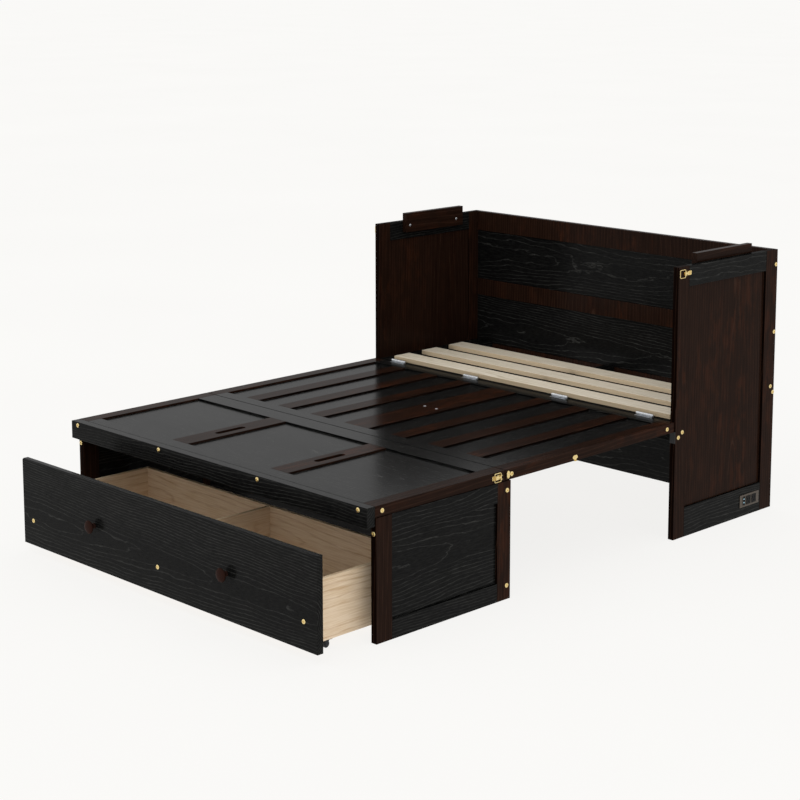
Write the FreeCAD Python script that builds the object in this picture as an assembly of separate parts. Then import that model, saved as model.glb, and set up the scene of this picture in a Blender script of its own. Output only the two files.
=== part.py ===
import FreeCAD, Part
import math
import os

# Cabinet bed, open: a framed cabinet at the head, a platform hinged to its front, and a free-standing
# foot unit with a framed lid and a wide drawer, which stands pulled out.
# X runs across the bed, Y from the foot to the head, Z up from the floor. All sizes are in mm.
# Pieces are built with the cabinet's front plane at y = 0. They are moved along Y at the end, so that
# the origin is on the floor, in the middle of the whole bed.

# Whole bed
bed_width = 1458.0            # over the side panels, the legs and the drawer front
deck_height = 411.0           # top of the platform and of the lid
deck_inset = 4.0              # platform and lid stop short of the bed's side faces by this much
edge_ease = 0.8               # rounding on the edges of every board
panel_thickness = 9.0         # panels let into the frames
cut_margin = 1.0              # cutters reach past the faces that they open
pick = 0.1                    # how near to a face an edge has to lie to count as on it

# Cabinet
cabinet_depth = 570.0
cabinet_height = 938.0
side_thickness = 22.0
side_front_stile = 59.0
side_rear_stile = 68.0
side_top_rail = 70.0
side_bottom_rail = 103.0
side_panel_recess = 8.5       # below the outer face
back_thickness = 21.0
back_panel_recess = 6.0       # below the inner face
back_top_rail = 77.0
back_mid_rail = 67.0
back_low_rail = 67.0
back_low_rail_drop = 8.0      # its top below the deck
back_panel_difference = 5.0   # the upper panel is taller than the lower one by this much
lower_board_thickness = 12.0
cross_rail_thickness = 20.0   # the rail that the platform hangs on
cross_rail_height = 67.0
ledger_thickness = 22.0
ledger_height = 40.0
bearer_width = 90.0
bearer_thickness = 20.0
centre_bearer_width = 34.0
centre_bearer_height = 60.0
slat_count = 3
slat_width = 81.0
slat_thickness = 17.0
slat_pitch = 151.0
slat_first = 20.5             # front edge of the first slat behind the cabinet's front plane
slat_left_gap = 61.0          # from the slats' left ends to the side panel
slat_right_gap = 17.0         # from their right ends
tab_length = 317.0
tab_height = 75.0
tab_thickness = 21.0
tab_rise = 32.0               # stands above the side panel by this much
rest_plate_height = 40.0
rest_plate_thickness = 1.5

# Platform
platform_thickness = 34.0
platform_length = 838.0
hinge_gap = 2.0               # from the cabinet's front plane to the platform, and to the cross rail
platform_side_rail = 49.0
platform_end_rail = 54.0
platform_stile = 63.0
platform_centre_stile = 118.0
side_stile_count = 3          # on each side of the centre stile
deck_panel_recess = 6.0       # platform and lid panels, below the top

# Foot unit
lid_gap = 3.0                 # between the platform and the lid
rest_gap = 0.4                # between the platform and the legs that it comes down on
lid_length = 546.5
lid_side_rail = 50.0
lid_front_rail = 54.0
lid_rear_rail = 76.0
lid_stile = 79.0
lid_stile_offset = 243.5
slot_length = 123.0
slot_width = 24.0
slot_centre = 283.0           # from the lid's rear edge
fascia_thickness = 32.0
fascia_height = 60.0
leg_thickness = 22.0
leg_overlap = 20.0            # how far the legs reach under the platform
leg_front_stile = 63.0
leg_rear_stile = 59.0
leg_top_rail = 62.0
leg_bottom_rail = 59.0
leg_panel_recess = 8.0
foot_back_thickness = 20.0
foot_back_inset = 7.0         # from the legs' rear edge
foot_back_lift = 20.0         # above the floor

# Drawer
drawer_pull = 204.5           # how far it stands open
drawer_stop_gap = 1.0         # between its front and the legs when it is shut
drawer_front_thickness = 22.0
drawer_front_height = 287.5
drawer_front_lift = 29.0      # above the floor
drawer_front_bevel = 4.0
box_side_gap = 52.0           # from the box to the legs
box_depth = 436.0
box_wall = 13.0
box_wall_height = 186.5
box_bottom_thickness = 6.0
corner_block_width = 35.0
corner_block_depth = 30.0
corner_block_height = 68.0
knob_diameter = 43.0
knob_reach = 27.0
knob_neck = 13.0
knob_foot = 18.0
knob_inset = 399.0            # from the bed's side faces
knob_height = 172.0

# Casters
wheel_diameter = 22.0
wheel_width = 8.0
wheel_rounding = 1.2
axle_diameter = 4.0
axle_clearance = 0.05
caster_plate_thickness = 2.0
caster_plate_width = 24.0
caster_plate_length = 30.0
cheek_thickness = 1.5
cheek_gap = 1.0               # beside the wheel
cheek_length = 14.0
wheel_top_gap = 3.5           # under the plate
caster_inset = 14.0           # from the drawer's side wall to the wheel's centre
caster_front = 88.0           # behind the drawer's front
caster_rear = 41.0            # in front of the box's back edge

# Bolts and screws
bolt_head_diameter = 15.0
bolt_head_height = 3.0
bolt_socket_diameter = 6.0
bolt_socket_depth = 1.8
bolt_diameter = 6.0
screw_head_diameter = 10.0
screw_head_height = 1.6
screw_diameter = 4.0
drill_clearance = 0.1         # on the radius, around every shank
rail_reach = 25.0             # how far a bolt goes into the piece that it holds
cross_rail_bolt_drop = 55.0   # below the deck
ledger_bolt_setback = 15.0    # behind the cross rail
back_top_bolt_drop = 53.0     # below the cabinet's top
back_mid_bolt_drop = 20.0     # below the middle rail's top
stile_bolt_insets = (23.0, 8.0)     # from the cabinet's back
stile_bolt_rises = (36.0, 13.0)     # above the deck
tab_screw_drop = 16.0         # below the side panel's top
tab_screw_front = 20.5        # from the board's front end
tab_screw_rear = 38.5         # from its rear end
fascia_bolt_drop = 11.0       # below the deck
fascia_bolt_inset = 37.0      # from the board's ends
leg_front_bolt_drop = 48.0    # below the leg's top
leg_rear_bolt_drop = 29.0
foot_back_bolt_rise = 25.0    # above the back board's lower edge
block_bolt_drop = 58.0        # below the knobs
wall_screw_setback = 42.0     # behind the drawer's front
wall_screw_rise = 11.0        # above the wall's lower edge

# Hinges: leaves upright in the joint between platform and cross rail, barrels over the deck
hinge_inset = 108.0           # from the side panels to the outer hinges' middles
hinge_spacing = 382.0         # from there to the inner hinges' middles
hinge_length = 72.0
knuckle_count = 5
knuckle_radius = 5.0
knuckle_gap = 0.3
knuckle_lift = 1.2            # between the deck and the barrels
leaf_width = 27.4
leaf_fold = 13.0              # of the platform's leaf, turned over onto the deck
leaf_thickness = 1.4
leaf_clearance = 0.2          # between a leaf and the other leaf's knuckles
hinge_pin_radius = 2.0
hinge_pin_clearance = 0.05
pin_head_radius = 3.4
pin_head_length = 1.0

# Draw latches: the lever turns on a pin between two ears, the loop in the ears on the same axis
latch_plate_thickness = 1.2
latch_half = 7.0              # half the height of the plate, over the ears
latch_corner = 3.0
latch_plate_ahead = 4.6
latch_plate_back = 36.0
ear_thickness = 2.2
ear_half = 4.0
ear_height = 7.2
latch_pin_height = 3.6        # above the wood
latch_pin_radius = 1.3
latch_pin_half = 5.6
latch_clearance = 0.05
lever_half = 4.4
lever_head_half = 6.2
lever_neck_half = 3.2
lever_neck_length = 10.0
lever_shoulder = 3.0          # from the neck's end to the head's full width
lever_length = 25.0
lever_thickness = 2.6
lever_boss_radius = 2.2
lever_tab = 1.6               # turned out at the lever's tip
loop_stub_start = 5.9
loop_half = 13.5
loop_reach = 28.0
loop_bend = 3.5
cabinet_latch_drop = 23.5     # below the top of the side panel
cabinet_latch_inset = 32.0    # from the side panel's front edge to the latch's pin
lid_latch_inset = 21.0        # from the lid's rear edge to the latch's pin

# Keepers
keeper_length = 18.0
keeper_wing_half = 12.0
keeper_waist_half = 5.0
keeper_waist = 4.5            # from the lip to the waist
keeper_wing = (8.5, 13.0)     # from the lip to the wings' near and far corners
keeper_tail_half = 7.0
upright_keeper_offset = 514.0    # from the cabinet's front plane
keeper_lip_half = 6.5
keeper_lip_thickness = 1.6
keeper_lip_height = 6.0
keeper_lip_corner = 2.5
keeper_inset = 0.6            # from the platform's edge

# Pull handle under the platform, and outlet in the right side panel
handle_offset = 430.0         # from the platform's rear edge
handle_spacing = 57.0
handle_drop = 26.0
handle_radius = 4.0
handle_bend = 7.0
outlet_length = 113.0
outlet_height = 45.0
outlet_plate_thickness = 3.0
outlet_rim = 4.0
outlet_box_depth = 30.0
outlet_fit = 0.3
outlet_rear = 78.0            # from the cabinet's back to the plate
outlet_lift = 33.0
outlet_pocket = 1.2
socket_width = 26.0
socket_height = 31.0
socket_gap = 6.0
socket_proud = 0.8
usb_width = 14.0
socket_slot_width = 2.2
socket_slot_height = 8.0
socket_slot_depth = 1.2
socket_slot_offset = 6.4

# Places that follow from the sizes above
half_width = bed_width / 2
side_inner = half_width - side_thickness
deck_half = half_width - deck_inset
platform_rear = -hinge_gap
platform_front = platform_rear - platform_length
platform_under = deck_height - platform_thickness
lid_rear = platform_front - lid_gap
lid_front = lid_rear - lid_length
leg_height = platform_under - rest_gap
leg_rear = platform_front + leg_overlap
leg_inner = half_width - leg_thickness
fascia_face = lid_front - fascia_thickness
back_front = cabinet_depth - back_thickness
back_low_top = deck_height - back_low_rail_drop
back_panel_room = cabinet_height - back_top_rail - back_mid_rail - back_low_top
back_upper_panel = (back_panel_room + back_panel_difference) / 2
back_lower_panel = (back_panel_room - back_panel_difference) / 2
back_mid_top = cabinet_height - back_top_rail - back_upper_panel
bearer_under = deck_height - bearer_thickness
slat_top = deck_height + slat_thickness
drawer_rear_face = lid_front - drawer_stop_gap - drawer_pull
drawer_face = drawer_rear_face - drawer_front_thickness
box_half = leg_inner - box_side_gap
box_rear = drawer_rear_face + box_depth
box_under = wheel_diameter + wheel_top_gap + caster_plate_thickness
box_top = box_under + box_wall_height
knob_front = drawer_face - knob_reach
hinge_axis_height = deck_height + knuckle_lift + knuckle_radius
deck_middle = (platform_under + deck_height) / 2
origin_y = (cabinet_depth + knob_front) / 2

nodes = {}
holes = []


def vector(x, y, z):
    return FreeCAD.Vector(x, y, z)


def add(node, *solids):
    """Put solids into a node."""
    nodes.setdefault(node, []).extend(solids)


def block(x, y, z):
    """A plain box from three (low, high) spans, given in either order."""
    (x0, x1), (y0, y1), (z0, z1) = sorted(x), sorted(y), sorted(z)
    return Part.makeBox(x1 - x0, y1 - y0, z1 - z0, vector(x0, y0, z0))


def board(x, y, z):
    """A board with all its edges eased."""
    plain = block(x, y, z)
    return plain.makeFillet(edge_ease, plain.Edges)


def side_span(side, inner, outer):
    """The X span between two distances from the middle, on one side of the bed."""
    return (side * inner, side * outer)


def mirrored(shape):
    """The same piece on the other side of the bed."""
    return shape.mirror(vector(0, 0, 0), vector(1, 0, 0))


def turned(profile, axis):
    """A solid of revolution from (radius, height) points about Z, laid along an axis direction."""
    points = [vector(r, 0, h) for r, h in profile]
    face = Part.Face(Part.makePolygon(points + points[:1]))
    solid = face.revolve(vector(0, 0, 0), vector(0, 0, 1), 360)
    solid.Placement = FreeCAD.Placement(vector(0, 0, 0), FreeCAD.Rotation(vector(0, 0, 1), axis))
    return solid


def rod(centre, axis, length, radius):
    """A round bar, centred on a point."""
    return Part.makeCylinder(radius, length, centre - axis * (length / 2), axis)


def wire_form(points, bend, radius):
    """A round wire along straight runs, with a bend of the given radius at each inner point."""
    edges = []
    start = points[0]
    for before, corner, after in zip(points, points[1:], points[2:]):
        back = (before - corner).normalize()
        ahead = (after - corner).normalize()
        inward = (back + ahead).normalize()
        half_turn = back.getAngle(inward)
        arc_in = corner + back * (bend / math.tan(half_turn))
        arc_out = corner + ahead * (bend / math.tan(half_turn))
        middle = corner + inward * (bend / math.sin(half_turn) - bend)
        edges.append(Part.LineSegment(start, arc_in).toShape())
        edges.append(Part.Arc(arc_in, middle, arc_out).toShape())
        start = arc_out
    edges.append(Part.LineSegment(start, points[-1]).toShape())
    profile = Part.Wire(Part.makeCircle(radius, points[0], points[1] - points[0]))
    return Part.Wire(edges).makePipeShell([profile], True, False)


# ---------------------------------------------------------------- bolts and screws

def fastener(node, point, outward, grip, head_diameter, head_height, diameter, socket_diameter, socket_depth):
    """A fastener whose head sits on a face at a point, and the hole that its shank needs."""
    head = head_diameter / 2
    shank = diameter / 2
    socket = socket_diameter / 2
    profile = [
        (0, -grip), (shank, -grip), (shank, 0), (head, 0), (head, head_height * 0.4),
        (head * 0.86, head_height * 0.85), (head * 0.66, head_height), (socket, head_height),
        (socket, head_height - socket_depth), (0, head_height - socket_depth),
    ]
    solid = turned(profile, outward)
    solid.translate(point)
    add(node, solid)
    hole = Part.makeCylinder(shank + drill_clearance, grip + drill_clearance, point, outward * -1)
    holes.append(hole)


def bolt(node, point, outward, grip):
    """A brass furniture bolt."""
    fastener(node, point, outward, grip, bolt_head_diameter, bolt_head_height, bolt_diameter,
             bolt_socket_diameter, bolt_socket_depth)


def screw(node, point, outward, grip):
    """A small steel screw."""
    fastener(node, point, outward, grip, screw_head_diameter, screw_head_height, screw_diameter,
             screw_diameter * 0.7, screw_head_height * 0.6)


def drill_boards():
    """Cut each hole through the wooden pieces that it passes."""
    for node, solids in nodes.items():
        if node.endswith(("bolts", "screws", "handle", "outlet_plate")):
            continue
        for index, solid in enumerate(solids):
            crossing = [hole for hole in holes if solid.BoundBox.intersect(hole.BoundBox)]
            if crossing:
                solids[index] = solid.cut(crossing).Solids[0]


# ---------------------------------------------------------------- cabinet

def cabinet_sides():
    """Frame-and-panel sides: stiles run full height, rails and the panel sit between them."""
    rail_y = (side_front_stile, cabinet_depth - side_rear_stile)
    panel_z = (side_bottom_rail, cabinet_height - side_top_rail)
    panel_outer = half_width - side_panel_recess
    for side in (-1, 1):
        across = side_span(side, side_inner, half_width)
        add("cabinet_side_stiles", board(across, (0, side_front_stile), (0, cabinet_height)))
        add("cabinet_side_stiles", board(across, (rail_y[1], cabinet_depth), (0, cabinet_height)))
        add("cabinet_side_rails", board(across, rail_y, (0, side_bottom_rail)))
        add("cabinet_side_rails", board(across, rail_y, (panel_z[1], cabinet_height)))
        panel_x = side_span(side, panel_outer - panel_thickness, panel_outer)
        add("cabinet_side_panels", block(panel_x, rail_y, panel_z))


def cabinet_back():
    """Back between the side panels: three rails, two panels and a board down to the floor."""
    across = (-side_inner, side_inner)
    through = (back_front, cabinet_depth)
    panel_y = (back_front + back_panel_recess, back_front + back_panel_recess + panel_thickness)
    top = cabinet_height
    for rail, panel in ((back_top_rail, back_upper_panel), (back_mid_rail, back_lower_panel)):
        add("back_rails", board(across, through, (top - rail, top)))
        add("back_panels", block(across, panel_y, (top - rail - panel, top - rail)))
        top -= rail + panel
    add("back_rails", board(across, through, (top - back_low_rail, top)))
    lower_y = (back_front + back_panel_recess, back_front + back_panel_recess + lower_board_thickness)
    add("back_lower_board", block(across, lower_y, (0, top - back_low_rail)))


def cabinet_base():
    """Cross rail, ledgers, bearers and slats that carry the head end of the mattress."""
    rail_y = (hinge_gap, hinge_gap + cross_rail_thickness)
    run_y = (rail_y[1], back_front)
    rail_z = (deck_height - cross_rail_height, deck_height)
    add("front_cross_rail", board((-side_inner, side_inner), rail_y, rail_z))
    for side in (-1, 1):
        ledger_x = side_span(side, side_inner - ledger_thickness, side_inner)
        add("slat_bearers", board(ledger_x, run_y, (bearer_under - ledger_height, bearer_under)))
        bearer_x = side_span(side, side_inner - bearer_width, side_inner)
        add("slat_bearers", board(bearer_x, run_y, (bearer_under, deck_height)))
    centre = centre_bearer_width / 2
    add("slat_bearers", board((-centre, centre), run_y, (deck_height - centre_bearer_height, deck_height)))
    slat_x = (slat_left_gap - side_inner, side_inner - slat_right_gap)
    for index in range(slat_count):
        front = slat_first + index * slat_pitch
        add("slats", board(slat_x, (front, front + slat_width), (deck_height, slat_top)))


def cabinet_tabs():
    """Boards screwed inside the tops of the side panels, which stand above them."""
    middle = cabinet_depth / 2
    tab_y = (middle - tab_length / 2, middle + tab_length / 2)
    tab_z = (cabinet_height + tab_rise - tab_height, cabinet_height + tab_rise)
    tab_inner = side_inner - tab_thickness
    screw_z = cabinet_height - tab_screw_drop
    grip = tab_thickness + side_thickness * 0.6
    for side in (-1, 1):
        add("tab_boards", board(side_span(side, tab_inner, side_inner), tab_y, tab_z))
        for y in (tab_y[0] + tab_screw_front, tab_y[1] - tab_screw_rear):
            screw("tab_screws", vector(side * tab_inner, y, screw_z), vector(-side, 0, 0), grip)


def platform_rests():
    """Black plates on the side panels' front edges, just under the platform."""
    for side in (-1, 1):
        across = side_span(side, side_inner, half_width)
        plate_z = (platform_under - rest_plate_height, platform_under)
        add("platform_rest_plates", block(across, (-rest_plate_thickness, 0), plate_z))


def cabinet_bolts():
    """Bolts through the side panels into the cross rail, the ledgers and the back."""
    into_end = side_thickness + rail_reach
    into_ledger = side_thickness + ledger_thickness * 0.8
    own_stile = side_thickness * 0.9
    cross_rail_y = hinge_gap + cross_rail_thickness * 0.7
    ledger_y = hinge_gap + cross_rail_thickness + ledger_bolt_setback
    back_y = back_front + back_thickness / 2
    places = [
        (cross_rail_y, deck_height - cross_rail_bolt_drop, into_end),
        (ledger_y, bearer_under - ledger_height / 2, into_ledger),
        (back_y, cabinet_height - back_top_bolt_drop, into_end),
        (back_y, back_mid_top - back_mid_bolt_drop, into_end),
    ]
    for inset, rise in zip(stile_bolt_insets, stile_bolt_rises):
        places.append((cabinet_depth - inset, deck_height + rise, own_stile))
    for side in (-1, 1):
        for y, z, grip in places:
            bolt("cabinet_bolts", vector(side * half_width, y, z), vector(side, 0, 0), grip)


def outlet():
    """A metal plate with a box behind it, let into the right bottom rail, and its socket insert."""
    plate_y = (cabinet_depth - outlet_rear - outlet_length, cabinet_depth - outlet_rear)
    plate_z = (outlet_lift, outlet_lift + outlet_height)
    box_y = (plate_y[0] + outlet_rim, plate_y[1] - outlet_rim)
    box_z = (plate_z[0] + outlet_rim, plate_z[1] - outlet_rim)
    face = half_width + outlet_plate_thickness
    plate = board((half_width, face), plate_y, plate_z)
    housing = block((half_width - outlet_box_depth, half_width), box_y, box_z)
    plate = plate.fuse(housing).removeSplitter()
    hole_y = (box_y[0] - outlet_fit, box_y[1] + outlet_fit)
    hole_z = (box_z[0] - outlet_fit, box_z[1] + outlet_fit)
    holes.append(block((side_inner - cut_margin, half_width), hole_y, hole_z))

    middle_z = sum(plate_z) / 2
    half = socket_height / 2
    row = usb_width + 2 * socket_width + 2 * socket_gap
    start = sum(plate_y) / 2 - row / 2
    floor = face - outlet_pocket
    for width in (usb_width, socket_width, socket_width):
        span = (start, start + width)
        tall = (middle_z - half, middle_z + half)
        plate = plate.cut(block((floor, face), span, tall))
        insert = block((floor, face + socket_proud), span, tall)
        centre = start + width / 2
        top = face + socket_proud
        for offset in (-socket_slot_offset, socket_slot_offset):
            if width == usb_width:
                slot_y = (centre - socket_slot_height / 2, centre + socket_slot_height / 2)
                slot_z = (middle_z + offset - socket_slot_width, middle_z + offset + socket_slot_width)
            else:
                slot_y = (centre + offset - socket_slot_width / 2, centre + offset + socket_slot_width / 2)
                slot_z = (middle_z, middle_z + socket_slot_height)
            insert = insert.cut(block((top - socket_slot_depth, top), slot_y, slot_z))
        if width != usb_width:
            earth = vector(top, centre, middle_z - socket_slot_offset)
            insert = insert.cut(rod(earth, vector(1, 0, 0), 2 * socket_slot_depth, socket_slot_width))
        add("outlet_sockets", insert)
        start += width + socket_gap
    add("outlet_plate", plate)


# ---------------------------------------------------------------- hinges

def hinge_leaf(first, side):
    """A leaf upright in the joint with every second knuckle; the platform's is folded onto the deck."""
    pitch = hinge_length / knuckle_count
    axis = vector(1, 0, 0)
    near = side * (hinge_gap - leaf_thickness)
    leaf_y = (near, side * hinge_gap)
    top = hinge_axis_height - knuckle_radius - leaf_clearance
    leaf = block((-hinge_length / 2, hinge_length / 2), leaf_y, (top - leaf_width, top))
    for index in range(first, knuckle_count, 2):
        centre = (index + 0.5) * pitch - hinge_length / 2
        half = (pitch - knuckle_gap) / 2
        web_z = (top - knuckle_radius / 2, hinge_axis_height - knuckle_radius / 2)
        web = block((centre - half, centre + half), leaf_y, web_z)
        barrel = rod(vector(centre, 0, hinge_axis_height), axis, 2 * half, knuckle_radius)
        leaf = leaf.fuse(web.fuse(barrel))
    if side < 0:
        leaf = leaf.fuse(block((-hinge_length / 2, hinge_length / 2), (-leaf_fold, near), (deck_height, top)))
    bore = hinge_pin_radius + hinge_pin_clearance
    leaf = leaf.cut(rod(vector(0, 0, hinge_axis_height), axis, 2 * hinge_length, bore))
    return leaf.removeSplitter()


def hinges():
    """Four butt hinges; only their barrels stand over the deck."""
    cabinet_leaf = hinge_leaf(0, 1)
    platform_leaf = hinge_leaf(1, -1)
    axis = vector(1, 0, 0)
    pin = rod(vector(0, 0, hinge_axis_height), axis, hinge_length, hinge_pin_radius)
    for end in (-1, 1):
        head = vector(end * (hinge_length + pin_head_length) / 2, 0, hinge_axis_height)
        pin = pin.fuse(rod(head, axis, pin_head_length, pin_head_radius))
    pin = pin.removeSplitter()
    outer = side_inner - hinge_inset
    for offset in (outer - hinge_spacing, outer):
        for side in (-1, 1):
            shift = vector(side * offset, 0, 0)
            add("hinge_cabinet_leaves", cabinet_leaf.translated(shift))
            add("hinge_platform_leaves", platform_leaf.translated(shift))
            add("hinge_pins", pin.translated(shift))


# ---------------------------------------------------------------- platform

def platform():
    """Side rails over the full length, end rails between them, then stiles and panels."""
    through = (platform_under, deck_height)
    rail_inner = deck_half - platform_side_rail
    front_y = (platform_front, platform_front + platform_end_rail)
    rear_y = (platform_rear - platform_end_rail, platform_rear)
    for side in (-1, 1):
        side_x = side_span(side, rail_inner, deck_half)
        add("platform_side_rails", board(side_x, (platform_front, platform_rear), through))
    for rail_y in (front_y, rear_y):
        add("platform_end_rails", board((-rail_inner, rail_inner), rail_y, through))

    field_y = (front_y[1], rear_y[0])
    panel_top = deck_height - deck_panel_recess
    stile_widths = [platform_stile] * side_stile_count
    stile_widths = stile_widths + [platform_centre_stile] + stile_widths
    panel_width = (2 * rail_inner - sum(stile_widths)) / (len(stile_widths) + 1)
    left = -rail_inner
    for stile_width in stile_widths + [0]:
        panel_x = (left, left + panel_width)
        add("platform_panels", block(panel_x, field_y, (panel_top - panel_thickness, panel_top)))
        left += panel_width
        if stile_width:
            add("platform_stiles", board((left, left + stile_width), field_y, through))
            left += stile_width


def platform_handle():
    """A wire pull under the centre stile, held by two screws that show on top."""
    half = handle_spacing / 2
    y = platform_rear - handle_offset
    low = platform_under - handle_drop + handle_radius
    corners = ((-half, platform_under), (-half, low), (half, low), (half, platform_under))
    handle = wire_form([vector(x, y, z) for x, z in corners], handle_bend, handle_radius)
    grip = platform_thickness + handle_drop / 3
    for side in (-1, 1):
        top = vector(side * half, y, deck_height)
        screw("platform_handle", top, vector(0, 0, 1), grip)
        handle = handle.cut(holes[-1])
    add("platform_handle", handle.Solids[0])


def platform_bolts():
    """Bolts through the side rails into the end rails."""
    grip = platform_side_rail + rail_reach
    places = (platform_front + platform_end_rail / 2, platform_rear - platform_end_rail * 0.72)
    for side in (-1, 1):
        for y in places:
            bolt("platform_bolts", vector(side * deck_half, y, deck_middle), vector(side, 0, 0), grip)


# ---------------------------------------------------------------- foot unit

def finger_slot(x):
    """The cutter for one long finger slot through a lid stile, with round ends."""
    middle = lid_rear - slot_centre
    straight = (slot_length - slot_width) / 2
    depth = (platform_under - cut_margin, deck_height + cut_margin)
    radius = slot_width / 2
    cutter = block((x - radius, x + radius), (middle - straight, middle + straight), depth)
    for end in (-straight, straight):
        base = vector(x, middle + end, depth[0])
        cutter = cutter.fuse(Part.makeCylinder(radius, depth[1] - depth[0], base))
    return cutter


def lid():
    """Framed lid: side rails, front and rear rail, two slotted stiles, three panels, front board."""
    through = (leg_height, deck_height)
    rail_inner = deck_half - lid_side_rail
    front_y = (lid_front, lid_front + lid_front_rail)
    rear_y = (lid_rear - lid_rear_rail, lid_rear)
    field_y = (front_y[1], rear_y[0])
    for side in (-1, 1):
        side_x = side_span(side, rail_inner, deck_half)
        add("lid_side_rails", board(side_x, (lid_front, lid_rear), through))
    for rail_y in (front_y, rear_y):
        add("lid_end_rails", board((-rail_inner, rail_inner), rail_y, through))

    stile_inner = lid_stile_offset - lid_stile / 2
    stile_outer = lid_stile_offset + lid_stile / 2
    for side in (-1, 1):
        stile = board(side_span(side, stile_inner, stile_outer), field_y, through)
        add("lid_stiles", stile.cut(finger_slot(side * lid_stile_offset)))
    panel_top = deck_height - deck_panel_recess
    panel_z = (panel_top - panel_thickness, panel_top)
    for panel_x in ((-rail_inner, -stile_outer), (-stile_inner, stile_inner), (stile_outer, rail_inner)):
        add("lid_panels", block(panel_x, field_y, panel_z))
    fascia_z = (deck_height - fascia_height, deck_height)
    add("lid_front_board", board((-deck_half, deck_half), (fascia_face, lid_front), fascia_z))


def legs():
    """Frame-and-panel legs under the lid's sides, and the back board that joins them."""
    front = lid_front
    rail_y = (front + leg_front_stile, leg_rear - leg_rear_stile)
    panel_z = (leg_bottom_rail, leg_height - leg_top_rail)
    panel_outer = half_width - leg_panel_recess
    for side in (-1, 1):
        across = side_span(side, leg_inner, half_width)
        add("leg_stiles", board(across, (front, rail_y[0]), (0, leg_height)))
        add("leg_stiles", board(across, (rail_y[1], leg_rear), (0, leg_height)))
        add("leg_rails", board(across, rail_y, (0, leg_bottom_rail)))
        add("leg_rails", board(across, rail_y, (panel_z[1], leg_height)))
        panel_x = side_span(side, panel_outer - panel_thickness, panel_outer)
        add("leg_panels", block(panel_x, rail_y, panel_z))
    back_rear = leg_rear - foot_back_inset
    back_y = (back_rear - foot_back_thickness, back_rear)
    add("foot_back_board", board((-leg_inner, leg_inner), back_y, (foot_back_lift, leg_height)))


def foot_bolts():
    """Bolts in the front board, the lid's sides, the legs' front edges and the legs' rear stiles."""
    node = "foot_unit_bolts"
    back_middle = leg_rear - foot_back_inset - foot_back_thickness / 2
    fascia_grip = fascia_thickness + rail_reach
    fascia_z = deck_height - fascia_bolt_drop
    for side in (-1, 1):
        outward = vector(side, 0, 0)
        for x in (lid_stile_offset, deck_half - fascia_bolt_inset):
            bolt(node, vector(side * x, fascia_face, fascia_z), vector(0, -1, 0), fascia_grip)
        lid_side = vector(side * deck_half, lid_front + lid_front_rail / 2, deck_middle)
        bolt(node, lid_side, outward, lid_side_rail + rail_reach)
        edge = vector(side * (half_width - leg_thickness / 2), lid_front, leg_height - leg_front_bolt_drop)
        bolt(node, edge, vector(0, -1, 0), leg_front_stile * 0.6)
        for z in (leg_height - leg_rear_bolt_drop, foot_back_lift + foot_back_bolt_rise):
            bolt(node, vector(side * half_width, back_middle, z), outward, leg_thickness + rail_reach)


# ---------------------------------------------------------------- drawer

def drawer():
    """Front, two sides, back, bottom, divider and the blocks that the front is bolted to."""
    front_z = (drawer_front_lift, drawer_front_lift + drawer_front_height)
    front = block((-half_width, half_width), (drawer_face, drawer_rear_face), front_z)
    top_edge = [edge for edge in front.Edges
                if edge.BoundBox.ZMin > front_z[1] - pick and edge.BoundBox.YMax < drawer_face + pick]
    front = front.makeChamfer(drawer_front_bevel, top_edge)
    add("drawer_front", front)

    inner = box_half - box_wall
    walls_y = (drawer_rear_face, box_rear)
    inside_y = (drawer_rear_face, box_rear - box_wall)
    walls_z = (box_under, box_top)
    floor = box_under + box_bottom_thickness
    add("drawer_left_side", board((-box_half, -inner), walls_y, walls_z))
    add("drawer_right_side", board((inner, box_half), walls_y, walls_z))
    add("drawer_back", board((-inner, inner), (inside_y[1], box_rear), walls_z))
    add("drawer_bottom", block((-inner, inner), inside_y, (box_under, floor)))
    add("drawer_divider", board((-box_wall / 2, box_wall / 2), inside_y, (floor, box_top)))
    block_z = knob_height - block_bolt_drop
    corner_z = (block_z - corner_block_height / 2, block_z + corner_block_height / 2)
    corner_y = (drawer_rear_face, drawer_rear_face + corner_block_depth)
    outward = vector(0, -1, 0)
    bolt_offset = box_half + corner_block_width / 2
    block_grip = drawer_front_thickness + corner_block_depth * 0.7
    for side in (-1, 1):
        corner_x = side_span(side, box_half, box_half + corner_block_width)
        add("drawer_corner_blocks", board(corner_x, corner_y, corner_z))
        bolt("drawer_bolts", vector(side * bolt_offset, drawer_face, block_z), outward, block_grip)
        screw_y = drawer_rear_face + wall_screw_setback
        screw_point = vector(side * box_half, screw_y, box_under + wall_screw_rise)
        screw("drawer_screws", screw_point, vector(side, 0, 0), box_wall * 0.8)
    divider_grip = drawer_front_thickness + rail_reach
    bolt("drawer_bolts", vector(0, drawer_face, block_z), outward, divider_grip)


def knobs():
    """Two turned knobs: a flared foot, a thin neck and a domed disc."""
    head = knob_diameter / 2
    foot = knob_foot / 2
    neck = knob_neck / 2
    profile = [
        (0, 0), (foot, 0), (foot, 1.5), (neck + 0.8, 3.5), (neck, 6.0), (neck, knob_reach - 15.0),
        (neck + 1.5, knob_reach - 13.0), (head * 0.72, knob_reach - 11.0), (head * 0.95, knob_reach - 9.0),
        (head, knob_reach - 6.8), (head * 0.97, knob_reach - 4.6), (head * 0.86, knob_reach - 2.6),
        (head * 0.62, knob_reach - 1.0), (head * 0.3, knob_reach - 0.2), (0, knob_reach),
    ]
    for side in (-1, 1):
        knob = turned(profile, vector(0, -1, 0))
        knob.translate(vector(side * (half_width - knob_inset), drawer_face, knob_height))
        add("drawer_knobs", knob)


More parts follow.
